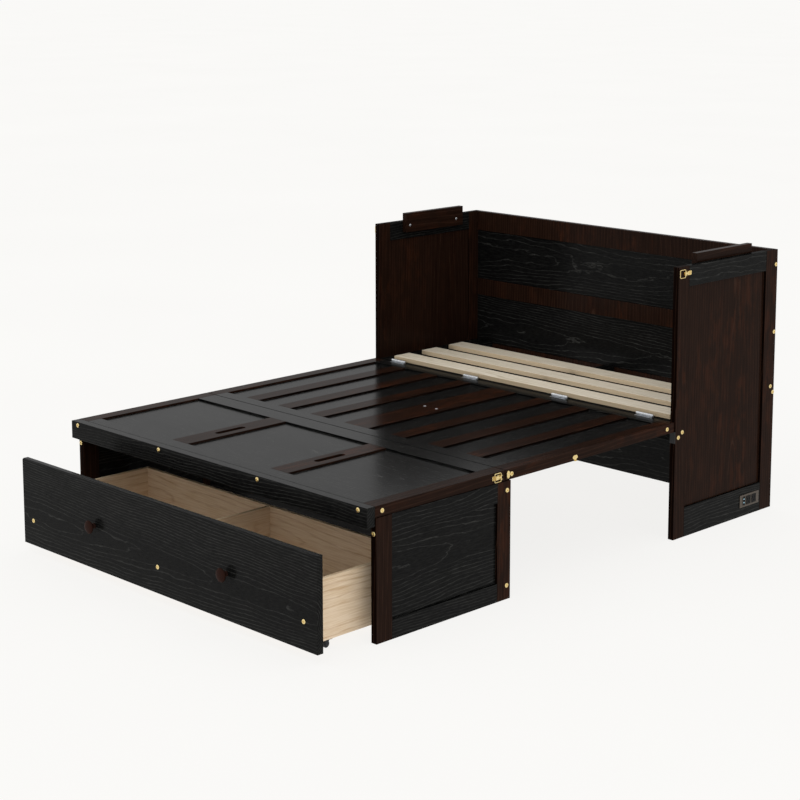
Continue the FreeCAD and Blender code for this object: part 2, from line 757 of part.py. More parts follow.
def casters():
    """Four small fixed casters under the drawer's side walls; each wheel is a piece of its own."""
    axle_z = wheel_diameter / 2
    plate_z = (box_under - caster_plate_thickness, box_under)
    cheek_inner = wheel_width / 2 + cheek_gap
    cheek_outer = cheek_inner + cheek_thickness
    axis = vector(1, 0, 0)
    for name, y in (("front", drawer_rear_face + caster_front), ("rear", box_rear - caster_rear)):
        for hand, side in (("left", -1), ("right", 1)):
            x = side * (box_half - caster_inset)
            plate_x = (x - caster_plate_width / 2, x + caster_plate_width / 2)
            bracket = block(plate_x, (y - caster_plate_length / 2, y + caster_plate_length / 2), plate_z)
            for end in (-1, 1):
                cheek_x = (x + end * cheek_inner, x + end * cheek_outer)
                cheek_z = (axle_z, plate_z[0])
                cheek_y = (y - cheek_length / 2, y + cheek_length / 2)
                bracket = bracket.fuse(block(cheek_x, cheek_y, cheek_z))
                round_end = vector(x + end * (cheek_inner + cheek_outer) / 2, y, axle_z)
                bracket = bracket.fuse(rod(round_end, axis, cheek_thickness, cheek_length / 2))
            axle = rod(vector(x, y, axle_z), axis, 2 * cheek_outer, axle_diameter / 2)
            add("caster_brackets", bracket.fuse(axle).removeSplitter())
            wheel = rod(vector(x, y, axle_z), axis, wheel_width, wheel_diameter / 2)
            wheel = wheel.makeFillet(wheel_rounding, wheel.Edges)
            bore = rod(vector(x, y, axle_z), axis, 2 * wheel_width, axle_diameter / 2 + axle_clearance)
            add(name + "_" + hand + "_wheel", wheel.cut(bore))


# ---------------------------------------------------------------- latches and keepers

def rounded_plate(x, y, z, radius):
    """A thin plate that lies against a side face, with rounded corners."""
    plate = block(x, y, z)
    corners = [edge for edge in plate.Edges if edge.BoundBox.XLength > abs(x[1] - x[0]) - pick]
    return plate.makeFillet(radius, corners)


def latch_base():
    """Plate, two ears and the pin between them. The wood's face is x = 0, the pin's axis y = 0."""
    axis = vector(0, 0, 1)
    plate_y = (-latch_plate_ahead, latch_plate_back)
    base = rounded_plate((0, latch_plate_thickness), plate_y, (-latch_half, latch_half), latch_corner)
    bore = latch_pin_radius + latch_clearance
    ear_inner = latch_half - ear_thickness
    for end in (-1, 1):
        ear = block((0, ear_height), (-ear_half, ear_half), (end * ear_inner, end * latch_half))
        top = [edge for edge in ear.Edges
               if edge.BoundBox.XMin > ear_height - pick and edge.BoundBox.YLength < pick]
        middle = vector(latch_pin_height, 0, end * latch_half)
        ear = ear.makeFillet(ear_half * 0.6, top).cut(rod(middle, axis, 2 * ear_thickness, bore))
        base = base.fuse(ear)
    pin = rod(vector(latch_pin_height, 0, 0), axis, 2 * latch_pin_half, latch_pin_radius)
    fill = rod(vector(latch_pin_height, 0, 0), axis, 2 * latch_pin_half, bore)
    ears = block((0, ear_height), (-ear_half, ear_half), (-latch_half, latch_half))
    gap = block((0, ear_height), (-ear_half, ear_half), (-ear_inner, ear_inner))
    return base.fuse(fill.common(ears.cut(gap))).fuse(pin).removeSplitter()


def latch_lever():
    """A lever on the pin, flat over the plate: a neck, a wide head and a tab turned out at its tip."""
    axis = vector(0, 0, 1)
    low = latch_pin_height - lever_thickness / 2
    top = latch_pin_height + lever_thickness / 2
    shoulder = lever_neck_length + lever_shoulder
    upper = [(0, lever_neck_half), (lever_neck_length, lever_neck_half), (shoulder, lever_head_half),
             (lever_length, lever_head_half)]
    outline = upper + [(y, -z) for y, z in reversed(upper)]
    points = [vector(low, y, z) for y, z in outline]
    arm = Part.Face(Part.makePolygon(points + points[:1])).extrude(vector(lever_thickness, 0, 0))
    tab_y = (lever_length - lever_thickness, lever_length)
    tab = block((top, top + lever_tab), tab_y, (-lever_head_half, lever_head_half))
    boss = rod(vector(latch_pin_height, 0, 0), axis, 2 * lever_half, lever_boss_radius)
    bore = rod(vector(latch_pin_height, 0, 0), axis, 4 * lever_half, latch_pin_radius + latch_clearance)
    return arm.fuse(boss).fuse(tab).cut(bore).removeSplitter()


def latch_loop(direction):
    """The wire loop in the ears, flat over its lever (1) or ahead of the latch (-1)."""
    far = direction * loop_reach
    path = ((0, loop_stub_start), (0, loop_half), (far, loop_half),
            (far, -loop_half), (0, -loop_half), (0, -loop_stub_start))
    points = [vector(latch_pin_height, y, z) for y, z in path]
    return wire_form(points, loop_bend, latch_pin_radius)


def latches():
    """Draw latches at the cabinet's top corners and on the lid's sides, where the loops are thrown back."""
    cabinet_place = vector(half_width, cabinet_latch_inset, cabinet_height - cabinet_latch_drop)
    lid_place = vector(deck_half, lid_rear - lid_latch_inset, deck_middle)
    for kind, place, half_turn, direction in (("cabinet", cabinet_place, 0, -1), ("lid", lid_place, 180, 1)):
        base, lever, loop = latch_base(), latch_lever(), latch_loop(direction)
        for piece in (base, lever, loop):
            piece.rotate(vector(0, 0, 0), vector(1, 0, 0), half_turn)
            piece.translate(place)
        add(kind + "_latch_bases", base, mirrored(base))
        add("right_" + kind + "_latch_lever", lever)
        add("left_" + kind + "_latch_lever", mirrored(lever))
        add("right_" + kind + "_latch_loop", loop)
        add("left_" + kind + "_latch_loop", mirrored(loop))


def keeper():
    """A winged plate with a lip turned out at its end. The wood's face is x = 0, the lip starts at y = 0."""
    upper = [(0, keeper_lip_half), (keeper_waist, keeper_waist_half), (keeper_wing[0], keeper_wing_half),
             (keeper_wing[1], keeper_wing_half), (keeper_length, keeper_tail_half)]
    outline = upper + [(y, -z) for y, z in reversed(upper)]
    points = [vector(0, y, z) for y, z in outline]
    plate = Part.Face(Part.makePolygon(points + points[:1])).extrude(vector(latch_plate_thickness, 0, 0))
    lip = block((0, keeper_lip_height), (0, keeper_lip_thickness), (-keeper_lip_half, keeper_lip_half))
    corners = [edge for edge in lip.Edges
               if edge.BoundBox.XMin > keeper_lip_height - pick and edge.BoundBox.YLength > pick]
    return plate.fuse(lip.makeFillet(keeper_lip_corner, corners)).removeSplitter()


def keepers():
    """On the platform's sides: one for each lid latch, and one for each cabinet latch, lip down."""
    for_lid = keeper()
    for_lid.translate(vector(deck_half, platform_front + keeper_inset, deck_middle))
    for_cabinet = keeper()
    for_cabinet.rotate(vector(0, 0, 0), vector(1, 0, 0), 90)
    for_cabinet.translate(vector(deck_half, -upright_keeper_offset, platform_under + keeper_inset))
    for piece in (for_lid, for_cabinet):
        add("platform_keepers", piece, mirrored(piece))


def build():
    """Build every piece, drill the boards and write one file for each node."""
    for make in (cabinet_sides, cabinet_back, cabinet_base, cabinet_tabs, platform_rests, cabinet_bolts,
                 outlet, hinges, platform, platform_handle, platform_bolts, lid, legs, foot_bolts,
                 drawer, knobs, casters, latches, keepers):
        make()
    drill_boards()
    os.makedirs("parts", exist_ok=True)
    for node, solids in nodes.items():
        for solid in solids:
            solid.translate(vector(0, -origin_y, 0))
        shape = solids[0] if len(solids) == 1 else Part.makeCompound(solids)
        shape.exportStep("parts/" + node + ".step")
    print(len(nodes), "nodes,", sum(len(solids) for solids in nodes.values()), "solids")


build()
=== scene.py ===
import logging
import math
import random
from dataclasses import dataclass, replace
from enum import Enum
from typing import Any, Callable, Iterable, Sequence

import bmesh
import bpy
from mathutils import Euler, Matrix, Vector


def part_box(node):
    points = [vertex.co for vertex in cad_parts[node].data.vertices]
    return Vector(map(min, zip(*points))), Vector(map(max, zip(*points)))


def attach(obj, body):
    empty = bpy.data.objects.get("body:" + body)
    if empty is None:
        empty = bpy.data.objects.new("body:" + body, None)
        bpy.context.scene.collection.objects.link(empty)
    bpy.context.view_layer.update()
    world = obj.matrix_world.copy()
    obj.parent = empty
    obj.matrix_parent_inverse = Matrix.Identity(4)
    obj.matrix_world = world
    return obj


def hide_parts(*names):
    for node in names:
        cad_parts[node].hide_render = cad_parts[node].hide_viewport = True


# Cabinet bed, dressed: the boards are rebuilt with their own grain, the metal pieces of the CAD
# model get their finishes, and bolt heads and screws stand where the CAD model has them.
# Sizes are in millimetres, with the cabinet's front plane at y = 0, as in the part's source.

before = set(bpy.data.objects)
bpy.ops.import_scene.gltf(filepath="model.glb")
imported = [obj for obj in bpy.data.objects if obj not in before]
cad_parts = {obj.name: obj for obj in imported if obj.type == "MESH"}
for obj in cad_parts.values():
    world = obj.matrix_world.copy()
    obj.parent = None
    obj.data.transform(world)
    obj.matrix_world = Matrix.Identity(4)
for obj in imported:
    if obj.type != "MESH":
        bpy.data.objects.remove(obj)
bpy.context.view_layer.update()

MM = 0.001
FRONT_PLANE = 537.0  # how far the cabinet's front plane stands from the row's origin, along +Y
NARROW = 125.0  # boards narrower than this are cut well aside of the heart, so their lines run straight
Span = tuple[float, float]
Board = tuple[Span, Span, Span]
Place = tuple[Vector, Vector]  # a point, in mm, and the way that a head on it faces
log = logging.getLogger("cabinet_bed")

# Blender's names of the node types that the trees hold most of
MATH = "ShaderNodeMath"
VECTOR_MATH = "ShaderNodeVectorMath"
RAMP = "ShaderNodeValToRGB"
NOISE = "ShaderNodeTexNoise"
NAMED = "GeometryNodeInputNamedAttribute"
DRESS = "GeometryNodeSetMaterial"


# ---------------------------------------------------------------- colours and nodes


def linear(code: str) -> tuple[float, float, float, float]:
    """Turn an sRGB hex colour into linear values.

    Args:
        code: the colour, such as "#C9A24A".

    Returns:
        Red, green, blue and alpha, linear.
    """
    parts = [int(code[i : i + 2], 16) / 255 for i in (1, 3, 5)]
    parts = [c / 12.92 if c <= 0.04045 else ((c + 0.055) / 1.055) ** 2.4 for c in parts]
    return (parts[0], parts[1], parts[2], 1.0)


def add_node(tree: bpy.types.NodeTree, kind: str, inputs: dict[Any, Any] | None = None,
             stops: Sequence[tuple[float, Any]] = (), **settings: Any) -> Any:
    """Add a node with its settings, input values and links.

    Args:
        tree: the tree that the node goes into.
        kind: Blender's name of the node type.
        inputs: input name or number, and the value for it or the socket that feeds it.
        stops: a colour ramp's stops, each a position and a colour, or a number for a grey.
        **settings: properties of the node itself.

    Returns:
        The node's first output in use; the others are found through that socket's node.
    """
    node = tree.nodes.new(kind)
    for name, value in settings.items():
        setattr(node, name, value)
    for name, value in (inputs or {}).items():
        if isinstance(name, int):
            socket = node.inputs[name]
        else:
            socket = next(s for s in node.inputs if s.name == name and s.enabled)
        if isinstance(value, bpy.types.NodeSocket):
            tree.links.new(value, socket)
        else:
            socket.default_value = value
    for i, (position, colour) in enumerate(stops):
        element = node.color_ramp.elements[i] if i < 2 else node.color_ramp.elements.new(position)
        element.position = position
        element.color = (colour, colour, colour, 1.0) if isinstance(colour, float) else colour
    return next((socket for socket in node.outputs if socket.enabled), None)


def painted(title: str, shade: Callable[[bpy.types.NodeTree], Any]) -> bpy.types.Material:
    """Fetch a material, or make it if it isn't there.

    Args:
        title: the material's name.
        shade: adds the nodes to the material's tree and gives back the shader's socket.

    Returns:
        The material.
    """
    if title in bpy.data.materials:
        return bpy.data.materials[title]
    material = bpy.data.materials.new(title)
    material.use_nodes = True
    material.node_tree.nodes.clear()
    add_node(material.node_tree, "ShaderNodeOutputMaterial", {"Surface": shade(material.node_tree)})
    return material


class Grain(Enum):
    """The way that a board's grain runs, with the turn that brings it onto the pattern's own X."""

    ACROSS = (0.0, 0.0, 0.0)
    ALONG = (0.0, 0.0, -math.pi / 2)
    UPRIGHT = (0.0, math.pi / 2, 0.0)

    @property
    def axis(self) -> int:
        """Number of the row axis that the grain runs along."""
        return list(Grain).index(self)


# ---------------------------------------------------------------- finishes


@dataclass(frozen=True)
class WoodFinish:
    """Sawn wood under a stain or lacquer: growth rings cut by the board's face, fibres and pores.

    The rings are the cylinders of a trunk, bent by a slow noise and set slightly askew, so that a
    board's face shows long wandering lines and arches, and its ends show arcs.
    """

    name: str
    slot: str            # the record's material slot
    ground: str          # the wood between the rings
    ring: str            # the line of late wood or open pores at each ring
    fibre: str           # the tone of the fibres that differ from the ground
    mottle: str          # the tone of the patches where the stain took differently
    edge: str            # the narrow sides, painted darker as shade
    ring_mm: float       # from ring to ring, measured from the heart
    ring_share: float    # how much of that is the line
    ring_strength: float
    wander_mm: float     # how far the rings wander
    fret_mm: float       # how jagged they are
    fibre_mm: float      # width of a streak, drawn coarser than life so that it shows
    fibre_times: float   # its length, in widths
    fibre_strength: float
    mottle_strength: float
    relief_mm: float     # depth of the open grain
    roughness: float     # halfway between its least and its most
    coat: float          # weight of the lacquer
    coat_roughness: float = 0.2
    specular: float = 0.0

    def noises(self, tree: bpy.types.NodeTree, along: Any) -> list[Any]:
        """Make the noises that the pattern is drawn from, all stretched along the grain.

        Args:
            tree: the material's tree.
            along: the board's coordinates, with the grain along X, in metres.

        Returns:
            The slow noise that bends the rings, one that frets them, one of patches, and the fibres.
        """
        fine = 1000.0 / self.fibre_mm
        found = []
        # cycles a metre along the grain and both ways across it, and the noise's detail
        for scale, detail in (((2.4, 9.0, 9.0), 2.0), ((22.0, 90.0, 90.0), 2.0), ((14.0, 40.0, 40.0), 3.0),
                              ((fine / self.fibre_times, fine, fine), 4.0)):
            drawn = add_node(tree, VECTOR_MATH, {0: along, 1: scale}, operation="MULTIPLY")
            found.append(add_node(tree, NOISE, {
                "Vector": drawn, "Scale": 1.0, "Detail": detail, "Roughness": 0.55}))
        return found

    def rings(self, tree: bpy.types.NodeTree, along: Any, facing: Any, slow: Any, fret: Any) -> Any:
        """Draw the lines of the growth rings, thin also where the face grazes them.

        Args:
            tree: the material's tree.
            along: the board's coordinates, with the grain along X, in metres.
            facing: the surface's normal, turned like the coordinates.
            slow: the noise that bends the rings.
            fret: the noise that makes them jagged.

        Returns:
            A factor, 1 in the middle of each line and 0 between the lines.
        """
        # how far from the heart, which runs 20 mm aside over a metre of length
        flat = add_node(tree, VECTOR_MATH, {0: along, 1: (0.0, 1.0, 1.0)}, operation="MULTIPLY")
        radius = add_node(tree, VECTOR_MATH, {0: flat}, operation="LENGTH")
        split = add_node(tree, "ShaderNodeSeparateXYZ", {0: along})
        depth = add_node(tree, MATH, {0: split, 1: 0.02, 2: radius}, operation="MULTIPLY_ADD")
        for noise, wander in ((slow, 4 * self.wander_mm), (fret, 4 * self.fret_mm)):
            depth = add_node(tree, MATH, {0: noise, 1: wander * MM, 2: depth}, operation="MULTIPLY_ADD")
        # how far from the middle of the nearest line, as a share of the way from ring to ring
        count = add_node(tree, MATH, {0: depth, 1: 1000.0 / self.ring_mm}, operation="MULTIPLY")
        phase = add_node(tree, MATH, {0: count}, operation="FRACT")
        centred = add_node(tree, MATH, {0: phase, 1: 0.5}, operation="SUBTRACT")
        away = add_node(tree, MATH, {0: centred}, operation="ABSOLUTE")
        # half a line's width as the ring shows it, narrowed by the sine between face and ring
        outward = add_node(tree, VECTOR_MATH, {0: flat}, operation="NORMALIZE")
        lean = add_node(tree, VECTOR_MATH, {0: outward, 1: facing}, operation="DOT_PRODUCT")
        square = add_node(tree, MATH, {0: lean, 1: lean}, operation="MULTIPLY")
        rest = add_node(tree, MATH, {0: 1.06, 1: square}, operation="SUBTRACT")
        graze = add_node(tree, MATH, {0: rest, 1: 0.5}, operation="POWER")
        reach = add_node(tree, MATH, {0: graze, 1: self.ring_share / 2}, operation="MULTIPLY")
        return add_node(tree, "ShaderNodeMapRange", {"Value": away, "From Min": reach, "From Max": 0.0})

    def shaded_edge(self) -> "WoodFinish":
        """Return the finish of the narrow sides: painted shade, darker and with a weaker lacquer."""
        return replace(self, name=self.name + "_edge", ground=self.edge, fibre=self.edge, mottle=self.edge,
                       coat=self.coat * 0.2)

    def shader(self, tree: bpy.types.NodeTree, grain: Grain) -> Any:
        """Draw the wood.

        Args:
            tree: the material's tree.
            grain: the way that the grain runs.

        Returns:
            The shader's socket.
        """
        place = add_node(tree, "ShaderNodeTexCoord").node.outputs
        shift = add_node(tree, "ShaderNodeAttribute", attribute_name="board_shift").node.outputs["Vector"]
        moved = add_node(tree, VECTOR_MATH, {0: place["Object"], 1: shift})
        along = add_node(tree, "ShaderNodeMapping", {"Vector": moved, "Rotation": grain.value})
        facing = add_node(tree, "ShaderNodeMapping", {"Vector": place["Normal"], "Rotation": grain.value})
        slow, fret, patches, fibres = self.noises(tree, along)
        line = self.rings(tree, along, facing, slow, fret)
        streak = add_node(tree, RAMP, {"Fac": fibres}, stops=[(0.42, 0.0), (0.66, 1.0)])
        spots = add_node(tree, RAMP, {"Fac": patches}, stops=[(0.44, 0.0), (0.6, 1.0)])
        fields = add_node(tree, RAMP, {"Fac": slow}, stops=[(0.48, 0.1), (0.66, 1.0)])
        faded = add_node(tree, RAMP, {"Fac": patches}, stops=[(0.3, 0.25), (0.6, 1.0)])
        stained = add_node(tree, MATH, {0: spots, 1: fields}, operation="MULTIPLY")
        broken = add_node(tree, MATH, {0: fibres, 1: faded}, operation="MULTIPLY")
        shown = add_node(tree, MATH, {0: broken, 1: line}, operation="MULTIPLY")

        colour: Any = linear(self.ground)
        for factor, strength, tone in ((stained, self.mottle_strength, self.mottle),
                                       (streak, self.fibre_strength, self.fibre),
                                       (shown, 2 * self.ring_strength, self.ring)):
            share = add_node(tree, MATH, {0: factor, 1: strength}, operation="MULTIPLY", use_clamp=True)
            colour = add_node(tree, "ShaderNodeMix", {"Factor": share, "A": colour, "B": linear(tone)},
                              data_type="RGBA")

        rough = add_node(tree, MATH, {0: streak, 1: 0.1, 2: self.roughness - 0.05}, operation="MULTIPLY_ADD")
        height = add_node(tree, MATH, {0: share, 1: -0.7, 2: fibres}, operation="MULTIPLY_ADD")
        bump = add_node(tree, "ShaderNodeBump",
                        {"Height": height, "Strength": 0.6, "Distance": self.relief_mm * MM})
        return add_node(tree, "ShaderNodeBsdfPrincipled", {
            "Base Color": colour, "Roughness": rough, "IOR": 1.5, "Specular IOR Level": self.specular,
            "Coat Weight": self.coat, "Coat IOR": 1.2, "Coat Roughness": self.coat_roughness,
            "Normal": bump, "Coat Normal": bump})

    def build(self, grain: Grain) -> bpy.types.Material:
        """Fetch or make the material of boards whose grain runs this way."""
        return painted(f"{self.name}_{grain.name.lower()}", lambda tree: self.shader(tree, grain))


@dataclass(frozen=True)
class PlainFinish:
    """One colour with a fine grain in its surface: moulded plastic, rubber or powder paint."""

    name: str
    bright: str
    dull: str
    roughness: float             # the least of it
    patch_mm: float              # size of the grain, or of the patches in a metal's polish
    spread: float = 0.12         # how much rougher the roughest places are
    relief_mm: float = 0.05
    relief_strength: float = 0.4
    detail: float = 2.0
    bright_from: float = 0.7     # the noise at which the bright tone is reached
    metallic: float = 0.0
    specular: float = 0.5
    # each box is painted in one colour: the socket slots' black is painted shade, the tongues' blue their
    # own
    hollows: tuple[tuple[float, float, float, str], ...] = ()  # below X, from Y to Y, in mm: their colour

    def shader(self, tree: bpy.types.NodeTree) -> Any:
        """Draw the surface.

        Args:
            tree: the material's tree.

        Returns:
            The shader's socket.
        """
        place = add_node(tree, "ShaderNodeTexCoord").node.outputs["Object"]
        patches = add_node(tree, NOISE, {
            "Vector": place, "Scale": 1 / (self.patch_mm * MM), "Detail": self.detail})
        colour = add_node(tree, RAMP, {"Fac": patches},
                          stops=[(0.3, linear(self.dull)), (self.bright_from, linear(self.bright))])
        # paint each box its colour over the grain; the slots' near black stands in for shade
        for below, start, end, tone in self.hollows:
            spot = add_node(tree, "ShaderNodeSeparateXYZ", {0: place}).node.outputs
            share: Any = 1.0
            for axis, limit, operation in (("X", below, "LESS_THAN"),
                                           ("Y", start + FRONT_PLANE, "GREATER_THAN"),
                                           ("Y", end + FRONT_PLANE, "LESS_THAN")):
                within = add_node(tree, MATH, {0: spot[axis], 1: limit * MM}, operation=operation)
                share = add_node(tree, MATH, {0: share, 1: within}, operation="MULTIPLY")
            colour = add_node(tree, "ShaderNodeMix", {"Factor": share, "A": colour, "B": linear(tone)},
                              data_type="RGBA")
        rough = add_node(tree, MATH, {0: patches, 1: self.spread, 2: self.roughness},
                         operation="MULTIPLY_ADD")
        bump = add_node(tree, "ShaderNodeBump", {
            "Height": patches, "Strength": self.relief_strength, "Distance": self.relief_mm * MM})
        return add_node(tree, "ShaderNodeBsdfPrincipled", {
            "Base Color": colour, "Roughness": rough, "Metallic": self.metallic,
            "Specular IOR Level": self.specular, "Normal": bump})

    def build(self) -> bpy.types.Material:
        """Fetch or make the material."""
        return painted(self.name, self.shader)


@dataclass(frozen=True)
class MetalFinish(PlainFinish):
    """Polished, plated or brushed metal: bright, with a slightly uneven polish."""

    relief_strength: float = 0.15
    detail: float = 3.0
    bright_from: float = 0.65
    metallic: float = 1.0


# Ash veneer, brushed and stained black: near black, with the open pores of each ring left paler, so
# thin broken grey lines run close together at a board's edges and in jagged arches in its middle,
# under a satin lacquer that mirrors the room at a low angle.
BLACK_ASH = WoodFinish("black_stained_ash", "black_wood", ground="#0B0B0B", ring="#5A5A57", fibre="#1E1E1D",
                       mottle="#121211", edge="#080808", ring_mm=7.5, ring_share=0.36, ring_strength=0.28,
                       wander_mm=8.0, fret_mm=1.0, fibre_mm=2.4, fibre_times=9.0, fibre_strength=0.6,
                       mottle_strength=0.6, relief_mm=0.05, roughness=0.5, coat=0.5)
# Pine stained dark brown and lacquered: faint paler lines along the grain, darker streaks between
# them, and red-brown flecks in some places, where the stain took lightly.
BROWN_PINE = WoodFinish("espresso_stained_pine", "brown_wood", ground="#22150F", ring="#3A281F",
                        fibre="#160B07", mottle="#3E2012", edge="#0E0604", ring_mm=12.0, ring_share=0.3,
                        ring_strength=0.6, wander_mm=5.0, fret_mm=0.4, fibre_mm=5.0, fibre_times=30.0,
                        fibre_strength=0.7, mottle_strength=0.5, relief_mm=0.03, roughness=0.5, coat=0.29)
# Paulownia, planed and left bare: pale cream with tan streaks, dull.
PALE_PAULOWNIA = WoodFinish("planed_paulownia", "light_wood", ground="#EAD4B8", ring="#C09C74",
                            fibre="#D4B68F", mottle="#DCC19C", edge="#D8C2A2", ring_mm=10.0, ring_share=0.7,
                            ring_strength=0.7, wander_mm=8.0, fret_mm=0.6, fibre_mm=3.0, fibre_times=30.0,
                            fibre_strength=0.75, mottle_strength=0.5, relief_mm=0.05, roughness=0.62,
                            coat=0.0, specular=0.3)
# Pine, planed: paler and greyer than the drawer's boards, with faint streaks.
SLAT_PINE = replace(PALE_PAULOWNIA, name="planed_pine", ground="#E3D9C7", ring="#B0A084", fibre="#CDBFA6",
                    mottle="#D6CAB2", edge="#C2AE90", ring_mm=9.0, ring_strength=0.6, roughness=0.6)
# Turned rubberwood, stained dark and lacquered, of the knobs: red-brown, with a soft shine.
TURNED_WOOD = WoodFinish("turned_rubberwood", "knob_wood", ground="#24130E", ring="#160C08", fibre="#301B14",
                         mottle="#281610", edge="#180D09", ring_mm=3.0, ring_share=0.5, ring_strength=0.4,
                         wander_mm=1.0, fret_mm=0.1, fibre_mm=1.5, fibre_times=20.0, fibre_strength=0.6,
                         mottle_strength=0.4, relief_mm=0.02, roughness=0.4, coat=0.35)
# Yellow brass plate, tumbled: warm gold with duller patches.
BRASS = MetalFinish("brass_plate", "#F2DFA6", "#CDAE6A", roughness=0.2, spread=0.14, patch_mm=3.0)
# Zinc-plated steel: pale grey, bright.
ZINC = MetalFinish("zinc_plated_steel", "#DADCDF", "#B4B7BA", roughness=0.22, spread=0.15, patch_mm=3.0)
# Blackened steel of the caster brackets: dark grey with a dull shine.
BLACKENED_STEEL = MetalFinish("blackened_steel", "#3C3D3F", "#28292B", roughness=0.34, spread=0.15,
                              patch_mm=5.0)
# Brushed bronze plate around the sockets: grey-brown with a dull shine.
BRONZE = MetalFinish("brushed_bronze", "#635B53", "#47413B", roughness=0.34, patch_mm=2.5)
# Moulded ABS of the socket inserts: near black and matt, with the insides of the slots painted black
# as their shade and, in the charging ports, pale blue tongues.
SOCKET_ABS = PlainFinish("moulded_abs", "#131212", "#0D0C0C", roughness=0.44, patch_mm=0.8, relief_mm=0.04,
                         specular=0.1,
                         hollows=((732.4, 379.0, 492.0, "#050505"), (731.9, 397.0, 410.0, "#B9DDEB")))
# Powder paint on the support plates: black, fine orange peel.
BLACK_POWDER = PlainFinish("black_powder_paint", "#1B1B1C", "#131314", roughness=0.44, patch_mm=1.5)
# Solid rubber tread of the caster wheels: black, dull.
WHEEL_RUBBER = PlainFinish("solid_rubber", "#232324", "#18181A", roughness=0.64, patch_mm=1.0)


# ---------------------------------------------------------------- Geometry Nodes


def new_tree(title: str, sockets: Iterable[tuple[str, str]]
             ) -> tuple[bpy.types.NodeTree, bpy.types.Node, bpy.types.Node]:
    """Start a Geometry Nodes tree that takes a geometry and named inputs.

    Args:
        title: the tree's name.
        sockets: name and socket type of each further input.

    Returns:
        The tree, its input node and its output node.
    """
    tree = bpy.data.node_groups.new(title, "GeometryNodeTree")
    tree.interface.new_socket("Geometry", in_out="INPUT", socket_type="NodeSocketGeometry")
    for name, kind in sockets:
        tree.interface.new_socket(name, in_out="INPUT", socket_type=kind)
    tree.interface.new_socket("Geometry", in_out="OUTPUT", socket_type="NodeSocketGeometry")
    return tree, tree.nodes.new("NodeGroupInput"), tree.nodes.new("NodeGroupOutput")


def eased_boards_tree() -> bpy.types.NodeTree:
    """Make a board with eased edges at every point, from its "middle" and "half" attributes.

    Each board starts as a cube cut in three each way. Its outer vertices are drawn in to the board's
    inner box and pushed out again by the easing, straight on the faces and aslant on the edges.
    The "thin" attribute points across the wide faces, and all that faces elsewhere is an edge.

    Returns:
        The tree.
    """
    if "eased_boards" in bpy.data.node_groups:
        return bpy.data.node_groups["eased_boards"]
    tree, given, result = new_tree("eased_boards", [
        ("Easing", "NodeSocketFloat"), ("Material", "NodeSocketMaterial"), ("Edge", "NodeSocketMaterial")])
    cube = add_node(tree, "GeometryNodeMeshCube",
                    {"Size": (2.0, 2.0, 2.0), "Vertices X": 4, "Vertices Y": 4, "Vertices Z": 4})
    position = add_node(tree, "GeometryNodeInputPosition")
    marked = add_node(tree, "GeometryNodeStoreNamedAttribute",
                      {"Geometry": cube, "Name": "corner", "Value": position},
                      data_type="FLOAT_VECTOR", domain="POINT")
    placed = add_node(tree, "GeometryNodeInstanceOnPoints",
                      {"Points": given.outputs["Geometry"], "Instance": marked})
    real = add_node(tree, "GeometryNodeRealizeInstances", {"Geometry": placed})
    corner, half, middle, thin = (add_node(tree, NAMED, {"Name": name}, data_type="FLOAT_VECTOR")
                                  for name in ("corner", "half", "middle", "thin"))
    way = add_node(tree, VECTOR_MATH, {0: corner}, operation="SIGN")
    reach = add_node(tree, VECTOR_MATH, {0: corner}, operation="ABSOLUTE")
    # along each axis, 1 for a vertex on the cube's outer face and 0 for one further in
    raised = add_node(tree, VECTOR_MATH, {0: reach, 1: (0.01, 0.01, 0.01)})
    outer = add_node(tree, VECTOR_MATH, {0: raised}, operation="FLOOR")
    aside = add_node(tree, VECTOR_MATH, {0: way, 1: outer}, operation="MULTIPLY")
    push = add_node(tree, VECTOR_MATH, {0: aside}, operation="NORMALIZE")
    easing = add_node(tree, "ShaderNodeCombineXYZ", {i: given.outputs["Easing"] for i in range(3)})
    inner = add_node(tree, VECTOR_MATH, {0: half, 1: easing}, operation="SUBTRACT")
    base = add_node(tree, VECTOR_MATH, {0: way, 1: inner, 2: middle}, operation="MULTIPLY_ADD")
    spread = add_node(tree, VECTOR_MATH, {0: push, 1: easing, 2: base}, operation="MULTIPLY_ADD")
    shaped = add_node(tree, "GeometryNodeSetPosition", {"Geometry": real, "Position": spread})
    dressed = add_node(tree, DRESS, {"Geometry": shaped, "Material": given.outputs["Material"]})
    normal = add_node(tree, "GeometryNodeInputNormal")
    lean = add_node(tree, VECTOR_MATH, {0: normal, 1: thin}, operation="DOT_PRODUCT")
    flat = add_node(tree, MATH, {0: lean}, operation="ABSOLUTE")
    # 1 on the wide faces, about 0.7 on their easing and 0 on the narrow sides
    narrow = add_node(tree, "FunctionNodeCompare", {"A": flat, "B": 0.8}, operation="LESS_THAN")
    # the narrow sides take the edge material, whose darker colour is painted shade
    edged = add_node(tree, DRESS, {
        "Geometry": dressed, "Selection": narrow, "Material": given.outputs["Edge"]})
    tree.links.new(edged, result.inputs[0])
    return tree


